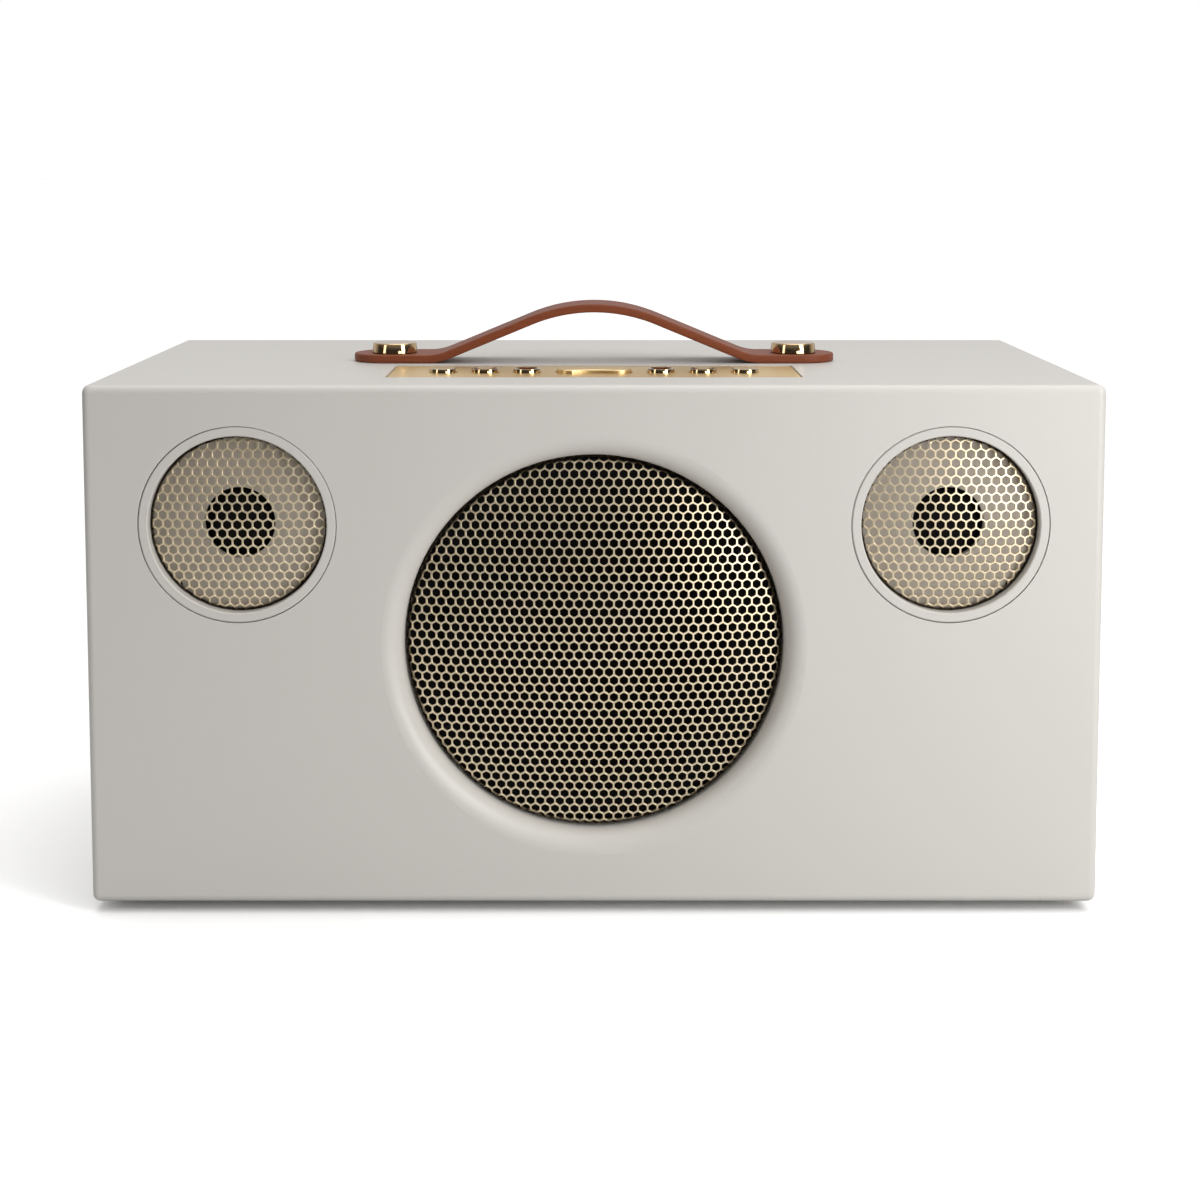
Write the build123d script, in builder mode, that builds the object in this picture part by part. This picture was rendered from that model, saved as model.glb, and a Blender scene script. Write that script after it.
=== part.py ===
"""Mains-powered table radio with a round bass speaker, two tweeters and a leather carrying strap.

Row frame: +Z up, the front looks along -Y, +X is to the right of someone facing the front.
The origin is on the floor, under the middle of the cabinet. All sizes are in millimetres.
"""

import os
from math import asin, cos, degrees, pi, radians, sin, tan

from build123d import *

os.makedirs("parts", exist_ok=True)

# ---------------------------------------------------------------- driving dimensions
# Cabinet, a box of MDF with a thick front baffle, open at the back
cabinet_width = 380.0
cabinet_depth = 190.0
cabinet_height = 197.0
edge_radius = 3.0
wall = 12.0
baffle = 27.0
ledge = 8.0  # the rear panel's seat, cut into the walls
rear_panel_thickness = 12.0
rear_panel_inset = 2.0
fit_gap = 0.3  # all round a panel in its recess
brace_thickness = 10.0
brace_width = 34.0
brace_offset = 99.0
brace_y = 10.0
foot_height = 4.0
foot_radius = 9.0
foot_inset = 24.0  # from the cabinet's sides to a foot's centre
broken_edge = 1.0  # chamfer on the battens and the feet

# Bass speaker
woofer_opening_radius = 71.7
woofer_flare = 8.0  # rounding of the opening's front edge
woofer_seat_depth = 19.0  # front face to the seat that the speaker is screwed to
woofer_through_radius = 61.0
basket_flange = 3.0
gasket = 0.5
cone_travel = 3.0  # each way
screw_circle_radius = 66.5
woofer_screw_count = 6
grille_sheet = 1.0
grille_dome = 8.0  # rise of the bass grille's crown over its rim
grille_setback = 0.4  # crown to the cabinet's front face
coil_radius = 12.5

# Tweeters
tweeter_offset = 132.8  # from the middle of the cabinet
tweeter_below_top = 52.3
ring_radius = 36.8
ring_bore_radius = 33.3
ring_depth = 6.0
faceplate = 3.0
tweeter_mouth_radius = 13.4
tweeter_hole_radius = 31.0
tweeter_dome_radius = 12.5
tweeter_dome_travel = 0.3
tweeter_grille_dome = 4.2

# Control panel let into the cabinet's top
panel_width = 160.0
panel_depth = 44.0
panel_thickness = 1.5
panel_sunk = 0.3
panel_from_front = 28.0
panel_corner_radius = 1.0
panel_chamfer = 0.3
window_margin = 5.0  # panel edge to the window in the cabinet's top
button_radius = 5.5
button_pitch = 16.5
first_button = 26.4  # middle of the panel to the nearest button
button_rise = 1.5  # proud of the panel
button_travel = 0.6
button_gap = 0.25
button_dish = 0.7  # depth of the hollow in its top
rocker_length = 29.5
rocker_width = 11.5
rocker_waist_radius = 24.0
rocker_swing = 3.0  # degrees each way
rocker_rise = 1.4  # proud of the panel
rocker_waist_depth = 1.6  # how far each side is pinched in
rocker_hub_width = 10.6
rocker_fillet = 0.6
rocker_body_drop = 1.0  # its sides go this far below the panel
rocker_hub_radius = 2.2
rocker_gap = 0.55
pivot_pin_radius = 1.0
running_gap = 0.04

# Carrying strap
strap_length = 199.0
strap_width = 28.0
strap_thickness = 3.4
strap_from_front = 94.0  # to the strap's middle line
strap_rise = 20.9  # underside of the arch over the cabinet
strap_flank_angle = 22.5
strap_crown_radius = 66.0
strap_foot_radius = 26.0
bolt_offset = 82.8
bolt_head_radius = 9.3
bolt_head_height = 4.1
bolt_shank_radius = 3.0
bolt_gap = 0.2

# Back
port_offset = 135.0
port_height = 72.0
port_bore_radius = 20.0
port_wall = 2.0
port_length = 105.0
port_flare = 9.0
port_flange_width = 5.0
plate_width = 152.0
plate_height = 52.0
plate_thickness = 2.0
plate_recess = 9.0
plate_centre_height = 66.0
switch_swing = 14.0  # degrees from one position to the other

# ---------------------------------------------------------------- values that follow from them
front_y = -cabinet_depth / 2
back_y = cabinet_depth / 2
bottom_z = foot_height
top_z = foot_height + cabinet_height
mid_z = foot_height + cabinet_height / 2
inner_width = cabinet_width - 2 * wall
inner_height = cabinet_height - 2 * wall
seat_y = back_y - rear_panel_inset - rear_panel_thickness
panel_y = front_y + panel_from_front + panel_depth / 2
strap_y = front_y + strap_from_front
tweeter_z = top_z - tweeter_below_top
sides = (("left", -1), ("right", 1))


def radial_plane(x, z, angle=0.0):
    """Plane through a driver's axis: its x is the radius at that angle, its y the depth from the front."""
    a = radians(angle)
    return Plane(origin=(x, front_y, z), x_dir=(cos(a), 0, sin(a)), z_dir=(-sin(a), 0, cos(a)))


def driver_axis(x, z):
    """The line along Y that a driver is turned about."""
    return Axis((x, front_y, z), (0, 1, 0))


def face_plane(y):
    """Upright plane at y: its x is +X, its y is +Z, and it extrudes towards the front."""
    return Plane.XZ.offset(-y)


def ring_points(x, z, radius, count, start=0.0):
    """Points of an even circle of screws."""
    step = 2 * pi / count
    return [
        (x + radius * cos(start + i * step), z + radius * sin(start + i * step)) for i in range(count)
    ]


def save(part, name):
    """Label a finished piece and write it out."""
    part.label = name
    export_step(part, f"parts/{name}.step")


# ---------------------------------------------------------------- cabinet
screw_radius = 1.75
screw_gap = 0.05
tweeter_seat = ring_depth + faceplate
tweeter_screw_circle = (ring_bore_radius + ring_radius) / 2 - 1.0  # hidden under the ring's inner half
tweeter_screw_radius = 1.4
tweeter_screw_length = 11.0
tweeter_screw_head = 2.3
tweeter_head_height = 1.3
head_gap = 0.1
hole_end_room = 0.5  # blind holes are this much deeper than their screws
rear_screw_length = 24.0
rear_screw_head = 3.2
rear_head_height = 1.8
rear_panel_chamfer = 0.6
window_width = panel_width - 2 * window_margin
window_depth = panel_depth - 2 * window_margin
seat_width = inner_width + 2 * ledge
seat_height = inner_height + 2 * ledge
rear_screw_x = (inner_width + ledge) / 2
rear_screw_z = (inner_height + ledge) / 2
rear_screw_points = [
    (sx * rear_screw_x, mid_z + sz * rear_screw_z) for sx in (-1, 1) for sz in (-1, 1)
]
rear_screw_points += [(0, mid_z + sz * rear_screw_z) for sz in (-1, 1)]
rear_screw_points += [(sx * rear_screw_x, mid_z) for sx in (-1, 1)]
woofer_screw_points = ring_points(0, mid_z, screw_circle_radius, woofer_screw_count, pi / 6)
tweeter_screw_points = [
    p
    for _, side in sides
    for p in ring_points(side * tweeter_offset, tweeter_z, tweeter_screw_circle, 4, pi / 4)
]

with BuildPart() as cabinet_shell:
    with BuildSketch(Plane.XY.offset(bottom_z)):
        Rectangle(cabinet_width, cabinet_depth)
    extrude(amount=cabinet_height)
    fillet(cabinet_shell.edges(), radius=edge_radius)
    # Hollow, open at the back, with a seat for the rear panel
    with BuildSketch(face_plane(back_y)):
        with Locations((0, mid_z)):
            Rectangle(inner_width, inner_height)
    extrude(amount=cabinet_depth - baffle, mode=Mode.SUBTRACT)
    with BuildSketch(face_plane(back_y)):
        with Locations((0, mid_z)):
            Rectangle(seat_width, seat_height)
    extrude(amount=back_y - seat_y, mode=Mode.SUBTRACT)
    # Bass opening: a seat for the speaker, a hole for its basket, and a rounded front edge
    with BuildSketch(face_plane(front_y)):
        with Locations((0, mid_z)):
            Circle(woofer_opening_radius)
    extrude(amount=-woofer_seat_depth, mode=Mode.SUBTRACT)
    with BuildSketch(face_plane(front_y)):
        with Locations((0, mid_z)):
            Circle(woofer_through_radius)
    extrude(amount=-baffle, mode=Mode.SUBTRACT)
    mouth = (
        cabinet_shell.edges()
        .filter_by(GeomType.CIRCLE)
        .filter_by(lambda e: abs(e.radius - woofer_opening_radius) < 1e-3)
        .sort_by(Axis.Y)[0]
    )
    fillet(mouth, radius=woofer_flare)
    # Tweeter openings
    with BuildSketch(face_plane(front_y)):
        with Locations(*[(side * tweeter_offset, tweeter_z) for _, side in sides]):
            Circle(ring_radius + fit_gap)
    extrude(amount=-tweeter_seat, mode=Mode.SUBTRACT)
    with BuildSketch(face_plane(front_y)):
        with Locations(*[(side * tweeter_offset, tweeter_z) for _, side in sides]):
            Circle(tweeter_hole_radius)
    extrude(amount=-baffle, mode=Mode.SUBTRACT)
    # Screw holes for the speakers, then for the rear panel
    with BuildSketch(face_plane(front_y + woofer_seat_depth)):
        with Locations(*woofer_screw_points):
            Circle(screw_radius + screw_gap)
    extrude(amount=-(baffle - woofer_seat_depth), mode=Mode.SUBTRACT)
    with BuildSketch(face_plane(front_y + tweeter_seat)):
        with Locations(*tweeter_screw_points):
            Circle(tweeter_screw_radius + screw_gap)
    extrude(amount=-(tweeter_screw_length - faceplate + hole_end_room), mode=Mode.SUBTRACT)
    with BuildSketch(face_plane(seat_y)):
        with Locations(*rear_screw_points):
            Circle(screw_radius + screw_gap)
    extrude(amount=rear_screw_length - rear_panel_thickness + hole_end_room, mode=Mode.SUBTRACT)
    # Recess and window for the control panel, and the holes for the strap's bolts
    with BuildSketch(Plane.XY.offset(top_z)):
        with Locations((0, panel_y)):
            RectangleRounded(
                panel_width + 2 * fit_gap, panel_depth + 2 * fit_gap, panel_corner_radius + fit_gap
            )
    extrude(amount=-(panel_thickness + panel_sunk), mode=Mode.SUBTRACT)
    with BuildSketch(Plane.XY.offset(top_z)):
        with Locations((0, panel_y)):
            Rectangle(window_width, window_depth)
        with Locations(*[(side * bolt_offset, strap_y) for _, side in sides]):
            Circle(bolt_shank_radius + bolt_gap)
    extrude(amount=-wall, mode=Mode.SUBTRACT)
save(cabinet_shell.part, "cabinet_shell")

# Two battens between the floor and the top, which stop the large panels from ringing
with BuildPart() as cabinet_braces:
    with BuildSketch(Plane.XY.offset(bottom_z + wall)):
        with Locations((0, brace_y)):
            with GridLocations(2 * brace_offset, 0, 2, 1):
                Rectangle(brace_thickness, brace_width)
    extrude(amount=inner_height)
    chamfer(cabinet_braces.edges().filter_by(Axis.Z), length=broken_edge)
save(cabinet_braces.part, "cabinet_braces")

foot_x = cabinet_width / 2 - foot_inset
foot_y = cabinet_depth / 2 - foot_inset
with BuildPart() as rubber_feet:
    with BuildSketch(Plane.XY):
        with GridLocations(2 * foot_x, 2 * foot_y, 2, 2):
            Circle(foot_radius)
    extrude(amount=foot_height)
    chamfer(rubber_feet.edges().group_by(Axis.Z)[0], length=broken_edge)
save(rubber_feet.part, "rubber_feet")

# ---------------------------------------------------------------- rear panel and bass port
panel_outer_y = seat_y + rear_panel_thickness
plate_y = panel_outer_y - plate_recess  # the connector plate's back face
plate_outer_y = plate_y + plate_thickness
port_outer_radius = port_bore_radius + port_wall
port_mouth_radius = port_bore_radius + port_flare
plate_window = 6.0  # width of the ledge that the connector plate sits on
plate_screw_radius = 1.25
plate_screw_x = plate_width / 2 - plate_window / 2
plate_screw_z = plate_height / 2 - plate_window / 2
plate_screw_points = [
    (sx * plate_screw_x, plate_centre_height + sz * plate_screw_z) for sx in (-1, 1) for sz in (-1, 1)
]

with BuildPart() as rear_panel:
    with BuildSketch(face_plane(panel_outer_y)):
        with Locations((0, mid_z)):
            Rectangle(seat_width - 2 * fit_gap, seat_height - 2 * fit_gap)
    extrude(amount=rear_panel_thickness)
    chamfer(rear_panel.edges().group_by(Axis.Y)[-1], length=rear_panel_chamfer)
    with BuildSketch(face_plane(panel_outer_y)):
        with Locations((0, plate_centre_height)):
            Rectangle(plate_width + 2 * fit_gap, plate_height + 2 * fit_gap)
    extrude(amount=plate_recess, mode=Mode.SUBTRACT)
    with BuildSketch(face_plane(panel_outer_y)):
        with Locations((0, plate_centre_height)):
            Rectangle(plate_width - 2 * plate_window, plate_height - 2 * plate_window)
        with Locations((port_offset, port_height)):
            Circle(port_mouth_radius + fit_gap)
        with Locations(*rear_screw_points):
            Circle(screw_radius + screw_gap)
        with Locations(*plate_screw_points):
            Circle(plate_screw_radius + screw_gap)
    extrude(amount=rear_panel_thickness, mode=Mode.SUBTRACT)
save(rear_panel.part, "rear_panel")

with BuildPart() as bass_port:
    with BuildSketch(Plane((port_offset, back_y, port_height), x_dir=(1, 0, 0), z_dir=(0, 0, 1))):
        with BuildLine():
            bell = (port_mouth_radius, -port_flare)
            inside = CenterArc(bell, port_flare, 90, 90)
            outside = CenterArc(bell, port_flare - port_wall, 90, 90)
            Polyline(
                inside @ 0,
                (port_mouth_radius + port_flange_width, 0),
                (port_mouth_radius + port_flange_width, -port_wall),
                outside @ 0,
            )
            Polyline(
                outside @ 1,
                (port_outer_radius, -port_length),
                (port_bore_radius, -port_length),
                inside @ 1,
            )
        make_face()
    revolve(axis=Axis((port_offset, back_y, port_height), (0, 1, 0)))
save(bass_port.part, "bass_port")


# ---------------------------------------------------------------- shared makers
head_chamfer = 0.5
recess_width = 0.9  # one bar of a screw head's cross
recess_span = 1.1  # its length as a share of the head's radius
recess_depth = 0.6  # its depth as a share of the head's height


def turn_about_driver(x, z, outline):
    """Turn an outline of (radius, depth behind the front) points about a driver's axis."""
    with BuildPart() as piece:
        with BuildSketch(radial_plane(x, z)):
            with BuildLine():
                Polyline(*outline, close=True)
            make_face()
        revolve(axis=driver_axis(x, z))
    return piece.part


def dome_arcs(radius, rise, crown_depth, thickness):
    """Two arcs of one shallow dome, outer face first, drawn in the open line builder."""
    curve = (radius**2 + rise**2) / (2 * rise)
    centre = (0, crown_depth + curve)
    sweep = degrees(asin(radius / curve))
    outer = CenterArc(centre, curve, -90, sweep)
    inner = CenterArc(centre, curve - thickness, -90, sweep)
    return outer, inner


def screws_along_y(points, head_y, length, towards, shank_radius, head_radius, head_height):
    """Pan-headed screws with their heads' undersides at head_y and their shanks going in along Y."""
    with BuildPart() as piece:
        with BuildSketch(face_plane(head_y)):
            with Locations(*points):
                Circle(head_radius)
        extrude(amount=towards * head_height)
        head_top = piece.edges().filter_by(lambda e: abs(e.center().Y - head_y) > head_height / 2)
        chamfer(head_top, length=head_chamfer)
        with BuildSketch(face_plane(head_y)):
            with Locations(*points):
                Circle(shank_radius)
        extrude(amount=-towards * length)
        with BuildSketch(face_plane(head_y - towards * head_height)):
            with Locations(*points):
                Rectangle(head_radius * recess_span, recess_width)
                Rectangle(recess_width, head_radius * recess_span)
        extrude(amount=-towards * head_height * recess_depth, mode=Mode.SUBTRACT)
    return piece.part


save(
    screws_along_y(
        rear_screw_points,
        panel_outer_y,
        rear_screw_length,
        -1,
        screw_radius,
        rear_screw_head,
        rear_head_height,
    ),
    "rear_screws",
)

# ---------------------------------------------------------------- bass speaker
# Radii are from the driver's axis and depths are behind the cabinet's front face.
frame_clearance = 0.5
seat_depth = woofer_seat_depth - gasket
flange_depth = seat_depth - basket_flange
woofer_rim_radius = woofer_opening_radius - frame_clearance
basket_neck_radius = woofer_through_radius - frame_clearance
basket_sheet = 1.6
basket_inner_radius = 57.0
roll_radius = 4.3
surround_lip = 4.0
surround_sheet = 0.8
roll_overlap = 0.6
cone_radius = basket_inner_radius - 2 * roll_radius + roll_overlap
cone_depth = 23.0
cone_sheet = 0.8
coil_wall = 0.3
cone_front = flange_depth - surround_sheet
glue_gap = 0.05
cone_neck_radius = coil_radius + coil_wall + glue_gap
dust_cap_radius = 20.0
dust_cap_rise = 5.0
spider_outer_radius = 34.0
spider_sheet = 0.6
spider_lip = 3.0
spider_wave_height = 1.2
neck_to_spider = cone_travel + 1.0
spider_to_magnet = 7.0
spider_depth = cone_front + cone_depth + neck_to_spider
magnet_front = spider_depth + spider_to_magnet
magnet_radius = 38.0
magnet_bore_radius = coil_radius + 8.0
magnet_plate_radius = magnet_radius - 1.0
magnet_plate = 6.0
magnet_ring = 16.0
coil_gap = 0.6
coil_in_neck = 2.0
coil_overhang = cone_travel + 1.0
coil_front = cone_front + cone_depth - coil_in_neck
coil_length = magnet_front + magnet_plate + coil_overhang - coil_front

with BuildPart() as woofer_gasket:
    with BuildSketch(face_plane(front_y + woofer_seat_depth)):
        with Locations((0, mid_z)):
            Circle(woofer_rim_radius)
            Circle(woofer_through_radius, mode=Mode.SUBTRACT)
        with Locations(*woofer_screw_points):
            Circle(screw_radius + screw_gap, mode=Mode.SUBTRACT)
    extrude(amount=gasket)
save(woofer_gasket.part, "woofer_gasket")

window_count = 6
spoke_width = 12.0
basket_neck_length = 3.0
basket_step = 1.0
window_front = woofer_seat_depth + basket_neck_length + basket_step
window_top_inset = 6.0
window_foot_inset = 2.0
with BuildPart() as woofer_basket:
    # Flange, sloping frame and the ring that carries the magnet, turned as one
    with BuildSketch(radial_plane(0, mid_z)):
        with BuildLine():
            Polyline(
                (basket_inner_radius, flange_depth),
                (woofer_rim_radius, flange_depth),
                (woofer_rim_radius, seat_depth),
                (basket_neck_radius, seat_depth),
                (basket_neck_radius, woofer_seat_depth + basket_neck_length),
                (magnet_radius, magnet_front),
                (magnet_bore_radius, magnet_front),
                (magnet_bore_radius, magnet_front - basket_sheet),
                (spider_outer_radius, magnet_front - basket_sheet),
                (spider_outer_radius, spider_depth + spider_sheet),
                (magnet_radius, spider_depth + spider_sheet),
                (basket_inner_radius, woofer_seat_depth + basket_step),
                close=True,
            )
        make_face()
    revolve(axis=driver_axis(0, mid_z))
    # Windows between the spokes
    for i in range(window_count):
        with BuildSketch(radial_plane(0, mid_z, 360 / window_count * i)):
            with BuildLine():
                Polyline(
                    (basket_neck_radius + basket_step, window_front),
                    (basket_neck_radius + basket_step, spider_depth),
                    (magnet_radius + window_foot_inset, spider_depth),
                    (basket_inner_radius - window_top_inset, window_front),
                    close=True,
                )
            make_face()
        extrude(amount=magnet_radius / 2 - spoke_width / 4, both=True, mode=Mode.SUBTRACT)
    with BuildSketch(face_plane(front_y + flange_depth)):
        with Locations(*woofer_screw_points):
            Circle(screw_radius + screw_gap)
    extrude(amount=-basket_flange, mode=Mode.SUBTRACT)
save(woofer_basket.part, "woofer_basket")

save(
    turn_about_driver(
        0,
        mid_z,
        [
            (coil_radius + coil_wall + coil_gap, magnet_front),
            (magnet_plate_radius, magnet_front),
            (magnet_plate_radius, magnet_front + magnet_plate),
            (coil_radius + coil_wall + coil_gap, magnet_front + magnet_plate),
        ],
    ),
    "woofer_top_plate",
)
save(
    turn_about_driver(
        0,
        mid_z,
        [
            (magnet_bore_radius, magnet_front + magnet_plate),
            (magnet_radius, magnet_front + magnet_plate),
            (magnet_radius, magnet_front + magnet_plate + magnet_ring),
            (magnet_bore_radius, magnet_front + magnet_plate + magnet_ring),
        ],
    ),
    "woofer_magnet",
)
save(
    turn_about_driver(
        0,
        mid_z,
        [
            (0, magnet_front),
            (coil_radius - coil_gap, magnet_front),
            (coil_radius - coil_gap, magnet_front + magnet_plate + magnet_ring),
            (magnet_plate_radius, magnet_front + magnet_plate + magnet_ring),
            (magnet_plate_radius, magnet_front + 2 * magnet_plate + magnet_ring),
            (0, magnet_front + 2 * magnet_plate + magnet_ring),
        ],
    ),
    "woofer_pole",
)
save(
    turn_about_driver(
        0,
        mid_z,
        [
            (cone_radius, cone_front),
            (cone_radius, cone_front + cone_sheet),
            (cone_neck_radius, cone_front + cone_depth + cone_sheet),
            (cone_neck_radius, cone_front + cone_depth),
        ],
    ),
    "woofer_cone",
)
cone_slope = cone_depth / (cone_radius - cone_neck_radius)
cap_sheet = 0.6
cap_depth = cone_front + (cone_radius - dust_cap_radius) * cone_slope
with BuildPart() as woofer_dust_cap:
    with BuildSketch(radial_plane(0, mid_z)):
        with BuildLine():
            cap_outer, cap_inner = dome_arcs(
                dust_cap_radius, dust_cap_rise, cap_depth - dust_cap_rise - cap_sheet, cap_sheet
            )
            Line(cap_outer @ 1, cap_inner @ 1)
            Line(cap_inner @ 0, cap_outer @ 0)
        make_face()
    revolve(axis=driver_axis(0, mid_z))
save(woofer_dust_cap.part, "woofer_dust_cap")

save(
    turn_about_driver(
        0,
        mid_z,
        [
            (coil_radius, coil_front),
            (coil_radius + coil_wall, coil_front),
            (coil_radius + coil_wall, coil_front + coil_length),
            (coil_radius, coil_front + coil_length),
        ],
    ),
    "woofer_voice_coil",
)
# Rubber half-roll between the cone's edge and the basket's flange
with BuildPart() as woofer_surround:
    with BuildSketch(radial_plane(0, mid_z)):
        with BuildLine():
            middle = (cone_radius + roll_radius, flange_depth - surround_sheet)
            roll_outer = CenterArc(middle, roll_radius, 180, 180)
            roll_inner = CenterArc(middle, roll_radius - surround_sheet, 180, 180)
            Polyline(
                roll_outer @ 1,
                (cone_radius + 2 * roll_radius + surround_lip, flange_depth - surround_sheet),
                (cone_radius + 2 * roll_radius + surround_lip, flange_depth),
                (cone_radius + 2 * roll_radius - surround_sheet, flange_depth),
                roll_inner @ 1,
            )
            Line(roll_inner @ 0, roll_outer @ 0)
        make_face()
    revolve(axis=driver_axis(0, mid_z))
save(woofer_surround.part, "woofer_surround")

# Corrugated disc that centres the voice coil
wave_count = 3
wave_pitch = (spider_outer_radius - cone_neck_radius) / wave_count
wave = [
    (cone_neck_radius + i * wave_pitch / 2, spider_depth - (spider_wave_height if i % 2 else 0))
    for i in range(2 * wave_count + 1)
]
spider_rim = spider_outer_radius + spider_lip
spider_edge = [(spider_rim, spider_depth), (spider_rim, spider_depth + spider_sheet)]
spider_back = [(r, d + spider_sheet) for r, d in reversed(wave)]
save(turn_about_driver(0, mid_z, wave + spider_edge + spider_back), "woofer_spider")

woofer_screw_head = 3.3
woofer_head_height = 2.0
save(
    screws_along_y(
        woofer_screw_points,
        front_y + flange_depth,
        baffle - flange_depth - hole_end_room,
        1,
        screw_radius,
        woofer_screw_head,
        woofer_head_height,
    ),
    "woofer_screws",
)

# Domed sheet-metal guard with a skirt that stands on the basket's flange
skirt_inner_radius = woofer_rim_radius - grille_sheet
guard_shoulder = 0.5  # step from the dome's edge down to the skirt
with BuildPart() as woofer_grille:
    with BuildSketch(radial_plane(0, mid_z)):
        with BuildLine():
            guard_outer, guard_inner = dome_arcs(
                skirt_inner_radius, grille_dome, grille_setback, grille_sheet
            )
            Polyline(
                guard_outer @ 1,
                (woofer_rim_radius, grille_setback + grille_dome + guard_shoulder),
                (woofer_rim_radius, flange_depth),
                (skirt_inner_radius, flange_depth),
                (skirt_inner_radius, grille_setback + grille_dome + grille_sheet + guard_shoulder),
                guard_inner @ 1,
            )
            Line(guard_inner @ 0, guard_outer @ 0)
        make_face()
    revolve(axis=driver_axis(0, mid_z))
save(woofer_grille.part, "woofer_grille")

# ---------------------------------------------------------------- tweeters
tweeter_boss_depth = 6.0
tweeter_boss_wall = 3.0
tweeter_boss_gap = 1.0
tweeter_back_depth = tweeter_seat + tweeter_boss_depth
tweeter_boss_radius = tweeter_hole_radius - tweeter_boss_gap
tweeter_inner_wall_radius = tweeter_mouth_radius + tweeter_boss_wall
tweeter_magnet_radius = 24.0
tweeter_magnet_length = 16.0
tweeter_grille_gap = 0.1
tweeter_grille_radius = ring_bore_radius - tweeter_grille_gap
tweeter_dome_rise = 4.0
tweeter_dome_sheet = 0.4
tweeter_crown_depth = ring_depth + 0.2
tweeter_coil_length = 5.0
tweeter_coil_gap = 0.6
tweeter_slot_end = tweeter_dome_travel + 0.7  # room behind the coil
tweeter_coil_depth = tweeter_back_depth + tweeter_coil_length
tweeter_slot_depth = tweeter_coil_depth + tweeter_slot_end
tweeter_slot_inner = tweeter_dome_radius - tweeter_dome_sheet - tweeter_coil_gap
tweeter_slot_outer = tweeter_dome_radius + tweeter_coil_gap
tweeter_surround_front = tweeter_back_depth - 1.5
tweeter_surround_back = tweeter_surround_front + tweeter_dome_sheet
tweeter_surround_gap = 0.3
ring_chamfer = 0.4
for side_name, side in sides:
    x = side * tweeter_offset
    own_screws = ring_points(x, tweeter_z, tweeter_screw_circle, 4, pi / 4)

    with BuildPart() as tweeter_ring:
        with BuildSketch(radial_plane(x, tweeter_z)):
            with BuildLine():
                Polyline(
                    (ring_bore_radius, ring_chamfer),
                    (ring_bore_radius + ring_chamfer, 0),
                    (ring_radius - ring_chamfer, 0),
                    (ring_radius, ring_chamfer),
                    (ring_radius, ring_depth),
                    (ring_bore_radius, ring_depth),
                    close=True,
                )
            make_face()
        revolve(axis=driver_axis(x, tweeter_z))
    save(tweeter_ring.part, f"tweeter_ring_{side_name}")

    with BuildPart() as tweeter_grille:
        with BuildSketch(radial_plane(x, tweeter_z)):
            with BuildLine():
                mesh_outer, mesh_inner = dome_arcs(
                    tweeter_grille_radius, tweeter_grille_dome, grille_setback, grille_sheet
                )
                Line(mesh_outer @ 1, mesh_inner @ 1)
                Line(mesh_inner @ 0, mesh_outer @ 0)
            make_face()
        revolve(axis=driver_axis(x, tweeter_z))
    save(tweeter_grille.part, f"tweeter_grille_{side_name}")

    # Face plate with the dome's mouth, a boss behind it and four countersunk holes
    with BuildPart() as tweeter_faceplate:
        with BuildSketch(radial_plane(x, tweeter_z)):
            with BuildLine():
                Polyline(
                    (tweeter_mouth_radius, ring_depth),
                    (ring_radius, ring_depth),
                    (ring_radius, tweeter_seat),
                    (tweeter_boss_radius, tweeter_seat),
                    (tweeter_boss_radius, tweeter_back_depth),
                    (tweeter_inner_wall_radius, tweeter_back_depth),
                    (tweeter_inner_wall_radius, tweeter_seat),
                    (tweeter_mouth_radius, tweeter_seat),
                    close=True,
                )
            make_face()
        revolve(axis=driver_axis(x, tweeter_z))
        with BuildSketch(face_plane(front_y + ring_depth)):
            with Locations(*own_screws):
                Circle(tweeter_screw_radius + screw_gap)
        extrude(amount=-faceplate, mode=Mode.SUBTRACT)
        with BuildSketch(face_plane(front_y + ring_depth)):
            with Locations(*own_screws):
                Circle(tweeter_screw_head + head_gap)
        extrude(amount=-(tweeter_head_height + head_gap), mode=Mode.SUBTRACT)
    save(tweeter_faceplate.part, f"tweeter_faceplate_{side_name}")

    with BuildPart() as tweeter_dome:
        with BuildSketch(radial_plane(x, tweeter_z)):
            with BuildLine():
                dome_outer, dome_inner = dome_arcs(
                    tweeter_dome_radius, tweeter_dome_rise, tweeter_crown_depth, tweeter_dome_sheet
                )
                Polyline(
                    dome_outer @ 1,
                    (tweeter_dome_radius, tweeter_coil_depth),
                    (tweeter_dome_radius - tweeter_dome_sheet, tweeter_coil_depth),
                    dome_inner @ 1,
                )
                Line(dome_inner @ 0, dome_outer @ 0)
            make_face()
        revolve(axis=driver_axis(x, tweeter_z))
    save(tweeter_dome.part, f"tweeter_dome_{side_name}")

    save(
        turn_about_driver(
            x,
            tweeter_z,
            [
                (tweeter_dome_radius + tweeter_surround_gap, tweeter_surround_front),
                (tweeter_inner_wall_radius, tweeter_surround_front),
                (tweeter_inner_wall_radius, tweeter_surround_back),
                (tweeter_dome_radius + tweeter_surround_gap, tweeter_surround_back),
            ],
        ),
        f"tweeter_surround_{side_name}",
    )
    save(
        turn_about_driver(
            x,
            tweeter_z,
            [
                (0, tweeter_back_depth),
                (tweeter_slot_inner, tweeter_back_depth),
                (tweeter_slot_inner, tweeter_slot_depth),
                (tweeter_slot_outer, tweeter_slot_depth),
                (tweeter_slot_outer, tweeter_back_depth),
                (tweeter_magnet_radius, tweeter_back_depth),
                (tweeter_magnet_radius, tweeter_back_depth + tweeter_magnet_length),
                (0, tweeter_back_depth + tweeter_magnet_length),
            ],
        ),
        f"tweeter_magnet_{side_name}",
    )

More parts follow.
